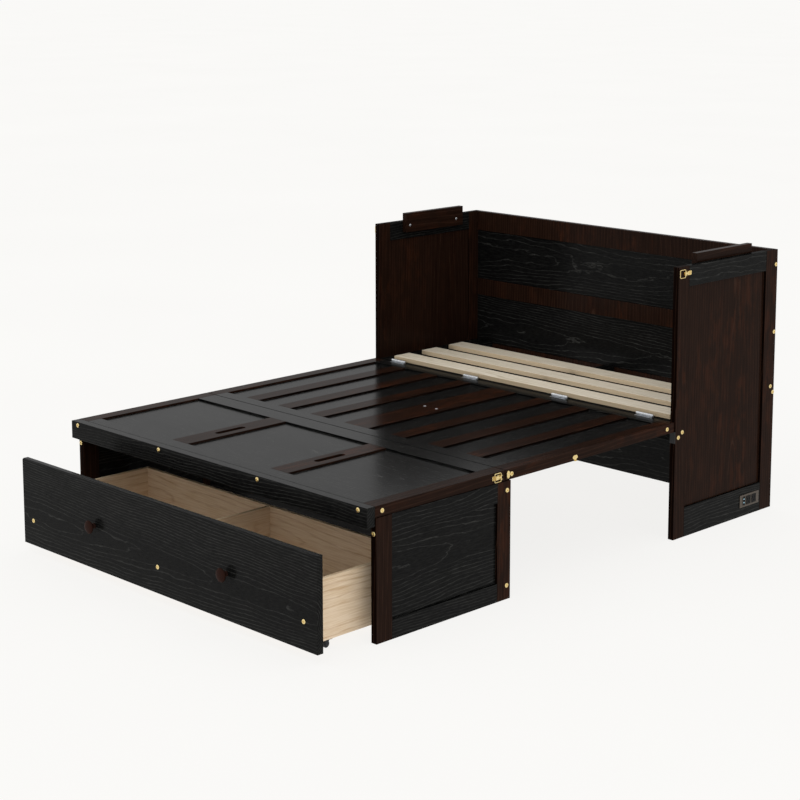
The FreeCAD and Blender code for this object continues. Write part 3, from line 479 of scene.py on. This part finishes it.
def fasteners_tree() -> bpy.types.NodeTree:
    """Set a head on every point, facing the way of its "facing" attribute, each turned at random.

    Returns:
        The tree.
    """
    if "fasteners" in bpy.data.node_groups:
        return bpy.data.node_groups["fasteners"]
    tree, given, result = new_tree("fasteners", [
        ("Head", "NodeSocketObject"), ("Seed", "NodeSocketInt"), ("Material", "NodeSocketMaterial")])
    head = add_node(tree, "GeometryNodeObjectInfo", {"Object": given.outputs["Head"]}).node
    way = add_node(tree, NAMED, {"Name": "facing"}, data_type="FLOAT_VECTOR")
    facing = add_node(tree, "FunctionNodeAlignRotationToVector", {"Vector": way}, axis="Z")
    placed = add_node(tree, "GeometryNodeInstanceOnPoints", {
        "Points": given.outputs["Geometry"], "Instance": head.outputs["Geometry"], "Rotation": facing})
    spin = add_node(tree, "FunctionNodeRandomValue",
                    {"Max": (0.0, 0.0, 2 * math.pi), "Min": (0.0, 0.0, 0.0), "Seed": given.outputs["Seed"]},
                    data_type="FLOAT_VECTOR")
    turned = add_node(tree, "GeometryNodeRotateInstances", {"Instances": placed, "Rotation": spin})
    real = add_node(tree, "GeometryNodeRealizeInstances", {"Geometry": turned})
    dressed = add_node(tree, DRESS, {"Geometry": real, "Material": given.outputs["Material"]})
    tree.links.new(dressed, result.inputs[0])
    return tree


def grown(name: str, cloud: bpy.types.Mesh, tree: bpy.types.NodeTree, inputs: dict[str, Any],
          spent: Sequence[str]) -> bpy.types.Object:
    """Run a Geometry Nodes tree on a mesh of points and keep its result as a plain mesh.

    Args:
        name: the new piece's name.
        cloud: the mesh of points.
        tree: the tree.
        inputs: value for each named input.
        spent: attributes that no material reads, so they come off the mesh.

    Returns:
        The piece, an object at the origin with no modifier.
    """
    piece = bpy.data.objects.new(name, cloud)
    bpy.context.scene.collection.objects.link(piece)
    modifier = piece.modifiers.new("grown", "NODES")
    modifier.node_group = tree
    for item in tree.interface.items_tree:
        if item.in_out == "INPUT" and item.name in inputs:
            modifier[item.identifier] = inputs[item.name]
    bpy.context.view_layer.update()
    graph = bpy.context.evaluated_depsgraph_get()
    mesh = bpy.data.meshes.new_from_object(piece.evaluated_get(graph), depsgraph=graph)
    piece.modifiers.clear()
    piece.data = mesh
    mesh.name = name
    bpy.data.meshes.remove(cloud)
    for title in spent:
        if title in mesh.attributes:
            mesh.attributes.remove(mesh.attributes[title])
    return piece


def point_cloud(name: str, points: Sequence[Vector],
                attributes: dict[str, Sequence[Vector]]) -> bpy.types.Mesh:
    """Make a mesh of loose points that carry vectors.

    Args:
        name: the mesh's name.
        points: their places, in metres.
        attributes: for each attribute's name, one vector a point.

    Returns:
        The mesh.
    """
    mesh = bpy.data.meshes.new(name)
    mesh.from_pydata([tuple(p) for p in points], [], [])
    for title, values in attributes.items():
        layer = mesh.attributes.new(title, "FLOAT_VECTOR", "POINT")
        layer.data.foreach_set("vector", [c for v in values for c in v])
    return mesh


# ---------------------------------------------------------------- pieces


def check_against(piece: bpy.types.Object, node: str, allowed: float = 1.0) -> None:
    """Stop if a piece doesn't fill the box of the CAD node that it stands for.

    Args:
        piece: the new piece.
        node: the CAD node.
        allowed: the difference allowed at each side, in mm.
    """
    low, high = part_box(node)
    for i in range(3):
        values = [v.co[i] for v in piece.data.vertices]
        if abs(min(values) - low[i]) > allowed * MM or abs(max(values) - high[i]) > allowed * MM:
            raise ValueError(f"{piece.name} doesn't match {node} along axis {i}")


def settle(piece: bpy.types.Object, body: str, node: str) -> None:
    """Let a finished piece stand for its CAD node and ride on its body.

    Args:
        piece: the new piece.
        body: the body that it rides on.
        node: the CAD node that it stands for.
    """
    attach(piece, body)
    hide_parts(node)
    log.info("%s: %d faces, rides on %s", piece.name, len(piece.data.polygons), body)


def board_shift(board: Board, grain: Grain, chance: random.Random) -> Vector:
    """Choose where in its trunk a board was cut: wide ones over the heart, narrow ones beside it.

    Args:
        board: the board's spans, in mm.
        grain: the way that its grain runs.
        chance: the source of random numbers.

    Returns:
        The move from the row's coordinates to the trunk's, in metres.
    """
    middle = [sum(span) / 2 for span in board]
    widths = [abs(span[1] - span[0]) for span in board]
    thin, wide = sorted((i for i in range(3) if i != grain.axis), key=lambda i: widths[i])
    shift = [-value for value in middle]
    shift[grain.axis] += chance.uniform(-2000.0, 2000.0)
    shift[thin] += chance.choice((-1, 1)) * chance.uniform(70.0, 130.0)
    aside = chance.uniform(0.0, 0.25) * widths[wide]
    if widths[wide] < NARROW:
        aside += chance.uniform(50.0, 110.0)
    shift[wide] += chance.choice((-1, 1)) * aside
    return Vector(shift) * MM


def thin_axis(board: Board) -> Vector:
    """Return the direction across a board's wide faces."""
    widths = [span[1] - span[0] for span in board]
    return Vector(1.0 if width == min(widths) else 0.0 for width in widths)


def timber(body: str, node: str, boards: Sequence[Board], finish: WoodFinish, grain: Grain,
           easing: float = 0.8, edged: bool = True) -> None:
    """Make all the boards of one CAD node, each with its own grain.

    Args:
        body: the body that they ride on.
        node: the CAD node that they stand for, whose name the piece takes, with a capital.
        boards: the spans of each board, in mm, with the cabinet's front plane at y = 0.
        finish: the wood.
        grain: the way that the grain runs.
        easing: the rounding of the edges, in mm.
        edged: whether the narrow sides get the edge finish, painted darker as shade.
    """
    name = node.capitalize()
    placed = [(b[0], (b[1][0] + FRONT_PLANE, b[1][1] + FRONT_PLANE), b[2]) for b in boards]
    chance = random.Random(name)
    attributes = {
        "middle": [Vector(sum(span) / 2 for span in board) * MM for board in placed],
        "half": [Vector(abs(span[1] - span[0]) / 2 for span in board) * MM for board in placed],
        "board_shift": [board_shift(board, grain, chance) for board in placed],
        "thin": [thin_axis(board) for board in placed]}
    cloud = point_cloud(name + "_points", [Vector()] * len(placed), attributes)
    # the narrow sides are painted darker as shade, unless edged is off
    narrow = finish.shaded_edge() if edged else finish
    inputs = {"Easing": easing * MM, "Material": finish.build(grain), "Edge": narrow.build(grain)}
    piece = grown(name, cloud, eased_boards_tree(), inputs, spent=("corner", "half", "middle", "thin"))
    check_against(piece, node)
    settle(piece, body, node)


def lathe(name: str, profile: Sequence[Span], segments: int) -> bpy.types.Mesh:
    """Turn a profile about Z.

    Args:
        name: the mesh's name.
        profile: radius and height of each step, in mm, from the axis out and round; the first and the
            last lie on the axis.
        segments: steps round the axis.

    Returns:
        A closed mesh.
    """
    shape = bmesh.new()
    rings = []
    for radius, height in profile:
        angles = [2 * math.pi * i / segments for i in range(segments if radius > 0.0 else 1)]
        rings.append([shape.verts.new((radius * MM * math.cos(a), radius * MM * math.sin(a), height * MM))
                      for a in angles])
    for lower, upper in zip(rings, rings[1:]):
        for i in range(segments):
            around = ((lower, i), (lower, i + 1), (upper, i + 1), (upper, i))
            corners = [ring[step % len(ring)] for ring, step in around]
            shape.faces.new(list(dict.fromkeys(corners)))
    bmesh.ops.recalc_face_normals(shape, faces=shape.faces)
    mesh = bpy.data.meshes.new(name)
    shape.to_mesh(mesh)
    shape.free()
    mesh.shade_smooth()
    mesh.set_sharp_from_angle(angle=math.radians(35))
    return mesh


def dress(node: str, material: bpy.types.Material) -> None:
    """Give a CAD node its finish.

    Args:
        node: the CAD node.
        material: the finish.
    """
    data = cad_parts[node].data
    data.materials.clear()
    data.materials.append(material)
    log.info("%s: CAD shape, %s", node, material.name)


def mirrored(boards: Iterable[Board]) -> list[Board]:
    """Add the mirror images of boards of the right-hand side.

    Args:
        boards: the spans of each board, in mm.

    Returns:
        For each board, its image and itself.
    """
    return [board for x, y, z in boards for board in (((-x[1], -x[0]), y, z), (x, y, z))]


def on_sides(x: float, spots: Iterable[Span]) -> list[Place]:
    """Place heads on the outer faces of both sides.

    Args:
        x: how far the faces stand from the middle, in mm; below 0 for heads that face the middle.
        spots: y and z of each head of a side, in mm.

    Returns:
        The heads of the left side, then those of the right.
    """
    facing = math.copysign(1.0, x)
    return [(Vector((side * abs(x), y, z)), Vector((side * facing, 0.0, 0.0)))
            for side in (-1, 1) for y, z in spots]


@dataclass
class Fastener:
    """A furniture bolt or screw with a turned head and a recess for the key."""

    name: str
    head: float
    height: float
    recess: float
    recess_depth: float
    finish: PlainFinish
    slot: str

    def mesh(self) -> bpy.types.Mesh:
        """Turn the head: a short rim, a domed shoulder and the recess.

        Returns:
            The head's mesh, facing up.
        """
        r, h, k = self.head / 2, self.height, self.recess / 2
        profile = [(0.0, -0.5), (r * 0.9, -0.5), (r * 0.97, 0.0), (r, h * 0.15), (r, h * 0.4),
                   (r * 0.95, h * 0.62), (r * 0.84, h * 0.86), (r * 0.68, h), (k + 0.35, h), (k, h - 0.25),
                   (k * 0.96, h - self.recess_depth), (0.0, h - self.recess_depth - 0.15)]
        return lathe(self.name + "_head", profile, segments=24)

    def place(self, body: str, node: str, places: Sequence[Place], seed: int) -> None:
        """Set a head at every place.

        Args:
            body: the body that they ride on.
            node: the CAD node that they stand for, whose name the piece takes, with a capital.
            places: where the heads stand.
            seed: seed of the heads' turns.
        """
        head = bpy.data.objects.new(self.name + "_head", self.mesh())
        bpy.context.scene.collection.objects.link(head)
        name = node.capitalize()
        points = [(point + Vector((0.0, FRONT_PLANE, 0.0))) * MM for point, _ in places]
        cloud = point_cloud(name + "_points", points, {"facing": [facing for _, facing in places]})
        inputs = {"Head": head, "Seed": seed, "Material": self.finish.build()}
        piece = grown(name, cloud, fasteners_tree(), inputs, spent=("facing",))
        mesh = head.data
        bpy.data.objects.remove(head)
        bpy.data.meshes.remove(mesh)
        settle(piece, body, node)


BOLT = Fastener("furniture_bolt", head=15.0, height=3.0, recess=5.6, recess_depth=1.8, finish=BRASS,
                slot="brass")
SCREW = Fastener("wood_screw", head=10.0, height=1.6, recess=3.4, recess_depth=1.0, finish=ZINC,
                 slot="silver_steel")


# ---------------------------------------------------------------- sub-assemblies


@dataclass
class SidePair:
    """A left and a right panel: stiles at both ends, rails between them and a sunk panel."""

    body: str
    prefix: str          # of the nodes' names
    half_width: float
    thickness: float
    run: Span            # front and rear edge
    height: float
    stiles: Span         # width of the front and the rear one
    rails: Span          # height of the bottom and the top one
    recess: float
    finish: WoodFinish   # of the sunk panel
    grain: Grain
    panel: float = 9.0

    def build(self) -> None:
        """Build stiles, rails and panels."""
        x = (self.half_width - self.thickness, self.half_width)
        full, face = (0.0, self.height), self.half_width - self.recess
        field = (self.run[0] + self.stiles[0], self.run[1] - self.stiles[1])
        free = (self.rails[0], self.height - self.rails[1])
        parts = (
            ("_stiles", [(x, (self.run[0], field[0]), full), (x, (field[1], self.run[1]), full)],
             BROWN_PINE, Grain.UPRIGHT, 0.8),
            ("_rails", [(x, field, (0.0, free[0])), (x, field, (free[1], self.height))],
             BLACK_ASH, Grain.ALONG, 0.8),
            ("_panels", [((face - self.panel, face), field, free)], self.finish, self.grain, 0.2))
        for name, boards, finish, grain, easing in parts:
            timber(self.body, self.prefix + name, mirrored(boards), finish, grain, easing)


@dataclass
class DeckFrame:
    """A frame in the deck: side rails, end rails between them, and panels sunk between the stiles."""

    body: str
    prefix: str          # of the nodes' names
    half_width: float
    run: Span            # front and rear edge
    level: Span          # underside and top
    side_rail: float
    end_rails: Span      # depth of the front and the rear one
    grain: Grain         # of the panels
    panel: float = 9.0
    recess: float = 6.0

    @property
    def inner(self) -> float:
        """Distance from the middle to the side rails."""
        return self.half_width - self.side_rail

    @property
    def field(self) -> Span:
        """Where the stiles and panels start and end, between the end rails."""
        return (self.run[0] + self.end_rails[0], self.run[1] - self.end_rails[1])

    def rails(self) -> None:
        """Build the side rails, and the end rails between them."""
        inner, field = self.inner, self.field
        sides = mirrored([((inner, self.half_width), self.run, self.level)])
        timber(self.body, self.prefix + "_side_rails", sides, BROWN_PINE, Grain.ALONG, edged=False)
        spans = ((self.run[0], field[0]), (field[1], self.run[1]))
        ends = [((-inner, inner), span, self.level) for span in spans]
        timber(self.body, self.prefix + "_end_rails", ends, BLACK_ASH, Grain.ACROSS)

    def panels(self, stiles: Sequence[Span]) -> None:
        """Build the panels, one in each gap between the side rails and the stiles.

        Args:
            stiles: the stiles' spans, from left to right.
        """
        edges = [-self.inner, *(edge for stile in stiles for edge in stile), self.inner]
        sunk = (self.level[1] - self.recess - self.panel, self.level[1] - self.recess)
        boards = [(gap, self.field, sunk) for gap in zip(edges[::2], edges[1::2])]
        timber(self.body, self.prefix + "_panels", boards, BLACK_ASH, self.grain, easing=0.2)


@dataclass
class Cabinet:
    """The cabinet at the head: framed sides, panelled back, cross rail, slats and tab boards."""

    half_width: float = 729.0
    side: float = 22.0
    depth: float = 570.0
    height: float = 938.0
    stiles: Span = (59.0, 68.0)
    rails: Span = (103.0, 70.0)
    side_recess: float = 8.5
    panel: float = 9.0
    back: float = 21.0
    back_recess: float = 6.0
    back_levels: tuple[float, ...] = (861.0, 663.0, 596.0, 403.0, 336.0)
    lower_board: float = 12.0
    deck: float = 411.0
    cross_rail: Span = (2.0, 22.0)
    cross_rail_height: float = 67.0
    ledger: float = 22.0
    bearer: float = 90.0
    bearer_thickness: float = 20.0
    ledger_drop: float = 60.0        # of the ledgers' and the centre bearer's undersides, below the deck
    centre_bearer: float = 34.0
    slats: int = 3
    slat_ends: Span = (-646.0, 690.0)
    slat_width: float = 81.0
    slat_thickness: float = 17.0
    slat_pitch: float = 151.0
    slat_first: float = 20.5
    tab: float = 21.0
    tab_run: Span = (126.5, 443.5)
    tab_level: Span = (895.0, 970.0)
    tab_screws: tuple[Span, ...] = ((147.0, 922.0), (405.0, 922.0))
    bolts: tuple[Span, ...] = ((16.0, 356.0), (37.0, 371.0), (559.5, 885.0), (559.5, 643.0),
                               (547.0, 447.0), (562.0, 424.0))

    @property
    def inner(self) -> float:
        """Distance from the middle to the side panels' inner faces."""
        return self.half_width - self.side

    def sides(self) -> None:
        """Build stiles, rails and panels of both sides."""
        SidePair("cabinet", "cabinet_side", self.half_width, self.side, (0.0, self.depth), self.height,
                 self.stiles, self.rails, self.side_recess, BROWN_PINE, Grain.UPRIGHT, self.panel).build()

    def back_wall(self) -> None:
        """Build the back's rails, its two panels and the board below them."""
        across = (-self.inner, self.inner)
        y = (self.depth - self.back, self.depth)
        panel_y = (y[0] + self.back_recess, y[0] + self.back_recess + self.panel)
        board_y = (panel_y[0], panel_y[0] + self.lower_board)
        top, upper, middle, lower, low = self.back_levels
        rails = [(across, y, span) for span in ((top, self.height), (middle, upper), (low, lower))]
        panels = [(across, panel_y, span) for span in ((upper, top), (lower, middle))]
        timber("cabinet", "back_rails", rails, BROWN_PINE, Grain.UPRIGHT, edged=False)
        timber("cabinet", "back_panels", panels, BLACK_ASH, Grain.ACROSS, easing=0.2)
        timber("cabinet", "back_lower_board", [(across, board_y, (0.0, low))], BLACK_ASH, Grain.ACROSS,
               easing=0.4)

    def base(self) -> None:
        """Build the cross rail, the bearers and the slats."""
        rail = ((-self.inner, self.inner), self.cross_rail, (self.deck - self.cross_rail_height, self.deck))
        timber("cabinet", "front_cross_rail", [rail], BLACK_ASH, Grain.ACROSS)
        run = (self.cross_rail[1], self.depth - self.back)
        low, seat = self.deck - self.ledger_drop, self.deck - self.bearer_thickness
        bearers = mirrored([((self.inner - self.ledger, self.inner), run, (low, seat)),
                            ((self.inner - self.bearer, self.inner), run, (seat, self.deck))])
        bearers.append(((-self.centre_bearer / 2, self.centre_bearer / 2), run, (low, self.deck)))
        timber("cabinet", "slat_bearers", bearers, BLACK_ASH, Grain.ALONG)
        level = (self.deck, self.deck + self.slat_thickness)
        starts = [self.slat_first + i * self.slat_pitch for i in range(self.slats)]
        timber("cabinet", "slats", [(self.slat_ends, (y, y + self.slat_width), level) for y in starts],
               SLAT_PINE, Grain.ACROSS, easing=1.5)

    def tabs(self) -> None:
        """Build the boards inside the tops of the side panels, and their screws."""
        x = (self.inner - self.tab, self.inner)
        boards = mirrored([(x, self.tab_run, self.tab_level)])
        timber("cabinet", "tab_boards", boards, BROWN_PINE, Grain.ALONG, edged=False)
        SCREW.place("cabinet", "tab_screws", on_sides(-x[0], self.tab_screws), seed=3)

    def hardware(self) -> None:
        """Place the bolts and dress the metal pieces."""
        BOLT.place("cabinet", "cabinet_bolts", on_sides(self.half_width, self.bolts), seed=5)
        for node, finish in (("hinge_cabinet_leaves", ZINC), ("hinge_pins", ZINC),
                             ("cabinet_latch_bases", BRASS), ("platform_rest_plates", BLACK_POWDER),
                             ("outlet_plate", BRONZE), ("outlet_sockets", SOCKET_ABS)):
            dress(node, finish.build())

    def build(self) -> None:
        """Build the whole cabinet."""
        self.sides()
        self.back_wall()
        self.base()
        self.tabs()
        self.hardware()


@dataclass
class Platform:
    """The hinged platform: side rails, end rails, seven stiles and eight sunk panels."""

    half_width: float = 725.0
    run: Span = (-840.0, -2.0)
    level: Span = (377.0, 411.0)
    side_rail: float = 49.0
    end_rails: Span = (54.0, 54.0)
    stile: float = 63.0
    centre_stile: float = 118.0
    stiles_each_side: int = 3
    bolts: tuple[Span, ...] = ((-813.0, 394.0), (-40.9, 394.0))

    def boards(self) -> None:
        """Build the frame with its stiles, with gaps of one width between them."""
        deck = DeckFrame("platform", "platform", self.half_width, self.run, self.level, self.side_rail,
                         self.end_rails, Grain.ALONG)
        widths = [self.stile] * self.stiles_each_side
        widths = widths + [self.centre_stile] + widths
        gap = (2 * deck.inner - sum(widths)) / (len(widths) + 1)
        stiles: list[Span] = []
        left = -deck.inner
        for width in widths:
            left += gap
            stiles.append((left, left + width))
            left += width
        deck.rails()
        boards = [(stile, deck.field, self.level) for stile in stiles]
        timber("platform", "platform_stiles", boards, BROWN_PINE, Grain.ALONG)
        deck.panels(stiles)

    def hardware(self) -> None:
        """Place the bolts and dress hinges, keepers and the handle."""
        BOLT.place("platform", "platform_bolts", on_sides(self.half_width, self.bolts), seed=7)
        for node, finish in (("hinge_platform_leaves", ZINC), ("platform_handle", ZINC),
                             ("platform_keepers", BRASS)):
            dress(node, finish.build())

    def build(self) -> None:
        """Build the whole platform."""
        self.boards()
        self.hardware()


@dataclass
class FootUnit:
    """The free-standing foot unit: framed lid, front board, framed legs and the board between them."""

    half_width: float = 729.0
    lid_half: float = 725.0
    front: float = -1389.5
    lid_rear: float = -843.0
    leg_rear: float = -820.0
    leg_height: float = 376.6
    deck: float = 411.0
    leg: float = 22.0
    leg_stiles: Span = (63.0, 59.0)
    leg_rails: Span = (59.0, 62.0)
    leg_recess: float = 8.0
    lid_side_rail: float = 50.0
    lid_end_rails: Span = (54.0, 76.0)
    stile: float = 79.0
    stile_offset: float = 243.5
    fascia: float = 32.0
    fascia_height: float = 60.0
    back_run: Span = (-847.0, -827.0)
    back_foot: float = 20.0
    fascia_bolts: Span = (243.5, 688.0)
    fascia_bolt_level: float = 400.0
    lid_bolt_inset: float = 27.0        # behind the lid's front
    lid_bolt_level: float = 394.0
    leg_bolt_drop: float = 48.0         # below the leg's top, in the middle of its front edge
    side_bolts: float = -837.0
    side_bolt_drop: float = 29.0        # of the upper one, below the leg's top
    side_bolt_level: float = 45.0       # of the lower one

    def lid(self) -> None:
        """Build the lid's frame, its sunk panels and the deep board at its front."""
        near, far = self.stile_offset - self.stile / 2, self.stile_offset + self.stile / 2
        deck = DeckFrame("foot_unit", "lid", self.lid_half, (self.front, self.lid_rear),
                         (self.leg_height, self.deck), self.lid_side_rail, self.lid_end_rails, Grain.ACROSS)
        deck.rails()
        deck.panels([(-far, -near), (near, far)])
        board = ((-self.lid_half, self.lid_half), (self.front - self.fascia, self.front),
                 (self.deck - self.fascia_height, self.deck))
        timber("foot_unit", "lid_front_board", [board], BLACK_ASH, Grain.ACROSS, easing=1.6, edged=False)
        dress("lid_stiles", BROWN_PINE.build(Grain.ALONG))

    def legs(self) -> None:
        """Build the framed legs and the board between them."""
        SidePair("foot_unit", "leg", self.half_width, self.leg, (self.front, self.leg_rear), self.leg_height,
                 self.leg_stiles, self.leg_rails, self.leg_recess, BLACK_ASH, Grain.ALONG).build()
        inner = self.half_width - self.leg
        board = ((-inner, inner), self.back_run, (self.back_foot, self.leg_height))
        timber("foot_unit", "foot_back_board", [board], BLACK_ASH, Grain.ACROSS)

    def hardware(self) -> None:
        """Place the bolts and dress the latch bases."""
        fore = Vector((0.0, -1.0, 0.0))
        places: list[Place] = []
        for side in (-1, 1):
            out = Vector((side, 0.0, 0.0))
            spots = [
                *((x, self.front - self.fascia, self.fascia_bolt_level, fore) for x in self.fascia_bolts),
                (self.lid_half, self.front + self.lid_bolt_inset, self.lid_bolt_level, out),
                (self.half_width - self.leg / 2, self.front, self.leg_height - self.leg_bolt_drop, fore),
                (self.half_width, self.side_bolts, self.leg_height - self.side_bolt_drop, out),
                (self.half_width, self.side_bolts, self.side_bolt_level, out)]
            places += [(Vector((side * x, y, z)), facing) for x, y, z, facing in spots]
        BOLT.place("foot_unit", "foot_unit_bolts", places, seed=11)
        dress("lid_latch_bases", BRASS.build())

    def build(self) -> None:
        """Build the whole foot unit."""
        self.lid()
        self.legs()
        self.hardware()


@dataclass
class Drawer:
    """The wide drawer: stained front with turned knobs, bare box with a divider, and casters."""

    half_width: float = 729.0
    front: float = -1617.0
    rear_face: float = -1595.0
    box_half: float = 655.0
    box_rear: float = -1159.0
    wall: float = 13.0
    under: float = 27.5
    top: float = 214.0
    floor: float = 6.0
    front_z: Span = (29.0, 316.5)
    bevel: float = 4.0
    easing: float = 0.7
    block: Span = (35.0, 30.0)          # width and depth of a corner block
    block_z: Span = (80.0, 148.0)
    bolts: tuple[float, ...] = (-672.5, 0.0, 672.5)
    bolt_level: float = 114.0
    screw: Span = (42.0, 11.0)          # behind the front board, and above the box's underside

    def front_board(self) -> None:
        """Build the front with the wide bevel along its upper edge."""
        y = (self.front + FRONT_PLANE, self.rear_face + FRONT_PLANE)
        spans = ((-self.half_width, self.half_width), y, self.front_z)
        shape = bmesh.new()
        bmesh.ops.create_cube(shape, size=1.0)
        for vertex in shape.verts:
            vertex.co = Vector(spans[i][0] if vertex.co[i] < 0 else spans[i][1] for i in range(3)) * MM
        top = [e for e in shape.edges if all(v.co.z > (self.front_z[1] - 1) * MM and v.co.y < (y[0] + 1) * MM
                                             for v in e.verts)]
        bmesh.ops.bevel(shape, geom=top, offset=self.bevel * MM, segments=1, affect="EDGES")
        bmesh.ops.bevel(shape, geom=shape.edges[:], offset=self.easing * MM, segments=2, profile=0.5,
                        affect="EDGES")
        mesh = bpy.data.meshes.new("Drawer_front")
        shape.to_mesh(mesh)
        shape.free()
        shift = board_shift(spans, Grain.ACROSS, random.Random("drawer front"))
        layer = mesh.attributes.new("board_shift", "FLOAT_VECTOR", "POINT")
        layer.data.foreach_set("vector", list(shift) * len(mesh.vertices))
        mesh.materials.append(BLACK_ASH.build(Grain.ACROSS))
        piece = bpy.data.objects.new("Drawer_front", mesh)
        bpy.context.scene.collection.objects.link(piece)
        check_against(piece, "drawer_front")
        settle(piece, "drawer", "drawer_front")

    def box(self) -> None:
        """Build the box's sides, back, bottom, divider and corner blocks."""
        inner = self.box_half - self.wall
        z = (self.under, self.top)
        inside = (self.rear_face, self.box_rear - self.wall)
        deep = (self.rear_face, self.box_rear)
        bottom = self.under + self.floor
        outside = (self.box_half, self.box_half + self.block[0])
        blocks = mirrored([(outside, (self.rear_face, self.rear_face + self.block[1]), self.block_z)])
        for name, boards, grain in (
                ("left_side", [((-self.box_half, -inner), deep, z)], Grain.ALONG),
                ("right_side", [((inner, self.box_half), deep, z)], Grain.ALONG),
                ("back", [((-inner, inner), (inside[1], self.box_rear), z)], Grain.ACROSS),
                ("bottom", [((-inner, inner), inside, (self.under, bottom))], Grain.ACROSS),
                ("divider", [((-self.wall / 2, self.wall / 2), inside, (bottom, self.top))], Grain.ALONG),
                ("corner_blocks", blocks, Grain.UPRIGHT)):
            timber("drawer", "drawer_" + name, boards, PALE_PAULOWNIA, grain)

    def hardware(self) -> None:
        """Place the bolts and dress knobs, brackets and wheels."""
        places = [(Vector((x, self.front, self.bolt_level)), Vector((0.0, -1.0, 0.0))) for x in self.bolts]
        BOLT.place("drawer", "drawer_bolts", places, seed=13)
        spot = (self.rear_face + self.screw[0], self.under + self.screw[1])
        SCREW.place("drawer", "drawer_screws", on_sides(self.box_half, [spot]), seed=17)
        dress("drawer_knobs", TURNED_WOOD.build(Grain.ALONG))
        dress("caster_brackets", BLACKENED_STEEL.build())
        for end in ("front", "rear"):
            for hand in ("left", "right"):
                dress(f"{end}_{hand}_wheel", WHEEL_RUBBER.build())

    def build(self) -> None:
        """Build the whole drawer."""
        self.front_board()
        self.box()
        self.hardware()


@dataclass
class Latches:
    """Levers and wire loops of the four draw latches."""

    kinds: tuple[str, ...] = ("lid", "cabinet")

    def build(self) -> None:
        """Dress every lever and loop."""
        for hand in ("left", "right"):
            for kind in self.kinds:
                for piece in ("lever", "loop"):
                    dress(f"{hand}_{kind}_latch_{piece}", BRASS.build())


# ---------------------------------------------------------------- studio


@dataclass
class Studio:
    """Pale floor, soft light and the photo's camera."""

    camera_at: tuple[float, float, float] = (4.4787, -4.4258, 1.9606)
    camera_yaw: float = 0.78938
    camera_pitch: float = 9.074      # degrees below the horizon
    focal_mm: float = 84.78
    shift: tuple[float, float] = (-0.0159, -0.18)
    floor_size: float = 900.0        # in metres, so that its edge is out of sight
    floor_glow: float = 0.85

    def floor_shader(self, tree: bpy.types.NodeTree) -> Any:
        """Draw the floor: grey paint with a white glow, so that the shadows on it stay faint.

        Args:
            tree: the material's tree.

        Returns:
            The shader's socket.
        """
        place = add_node(tree, "ShaderNodeTexCoord").node.outputs["Object"]
        cloud = add_node(tree, NOISE, {"Vector": place, "Scale": 0.6})
        colour = add_node(tree, RAMP, {"Fac": cloud},
                          stops=[(0.3, linear("#5A5A59")), (0.7, linear("#5E5E5D"))])
        return add_node(tree, "ShaderNodeBsdfPrincipled", {
            "Base Color": colour, "Roughness": 0.9, "Specular IOR Level": 0.0,
            "Emission Color": linear("#FFFEFC"), "Emission Strength": self.floor_glow})

    def floor(self) -> None:
        """Lay the floor."""
        shape = bmesh.new()
        bmesh.ops.create_grid(shape, x_segments=2, y_segments=2, size=self.floor_size / 2)
        mesh = bpy.data.meshes.new("Studio_floor")
        shape.to_mesh(mesh)
        shape.free()
        mesh.materials.append(painted("studio_floor_paint", self.floor_shader))
        floor = bpy.data.objects.new("Studio_floor", mesh)
        bpy.context.scene.collection.objects.link(floor)

    def light(self) -> None:
        """Set the white surroundings and two soft lamps overhead."""
        bpy.context.scene.view_settings.view_transform = "Standard"
        world = bpy.data.worlds.new("Studio")
        bpy.context.scene.world = world
        world.use_nodes = True
        tree = world.node_tree
        tree.nodes.clear()
        glow = add_node(tree, "ShaderNodeBackground", {"Color": linear("#FDFDFD"), "Strength": 1.0})
        add_node(tree, "ShaderNodeOutputWorld", {"Surface": glow})
        for name, place, turn, size, power in (
                ("Key", (1.5, -3.0, 4.5), (0.55, 0.25, 0.0), 3.0, 12.0),
                ("Fill", (-4.0, -1.0, 3.5), (0.2, -0.85, 0.0), 3.0, 6.0)):
            lamp = bpy.data.lights.new(name, "AREA")
            lamp.shape, lamp.size, lamp.energy = "DISK", size, power
            holder = bpy.data.objects.new(name, lamp)
            holder.location, holder.rotation_euler = place, Euler(turn)
            bpy.context.scene.collection.objects.link(holder)

    def camera(self) -> None:
        """Set up the camera at the photo's angle."""
        data = bpy.data.cameras.new("Camera")
        data.sensor_width, data.lens = 36.0, self.focal_mm
        data.shift_x, data.shift_y = self.shift
        camera = bpy.data.objects.new("Camera", data)
        camera.location = self.camera_at
        camera.rotation_euler = Euler((math.pi / 2 - math.radians(self.camera_pitch), 0.0, self.camera_yaw))
        bpy.context.scene.collection.objects.link(camera)
        bpy.context.scene.camera = camera

    def build(self) -> None:
        """Set up the whole studio."""
        self.floor()
        self.light()
        self.camera()


def main() -> None:
    """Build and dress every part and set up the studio."""
    logging.basicConfig(level=logging.INFO, format="%(name)s: %(message)s")
    for part in (Cabinet(), Platform(), FootUnit(), Drawer(), Latches(), Studio()):
        part.build()


if __name__ == "__main__":
    main()
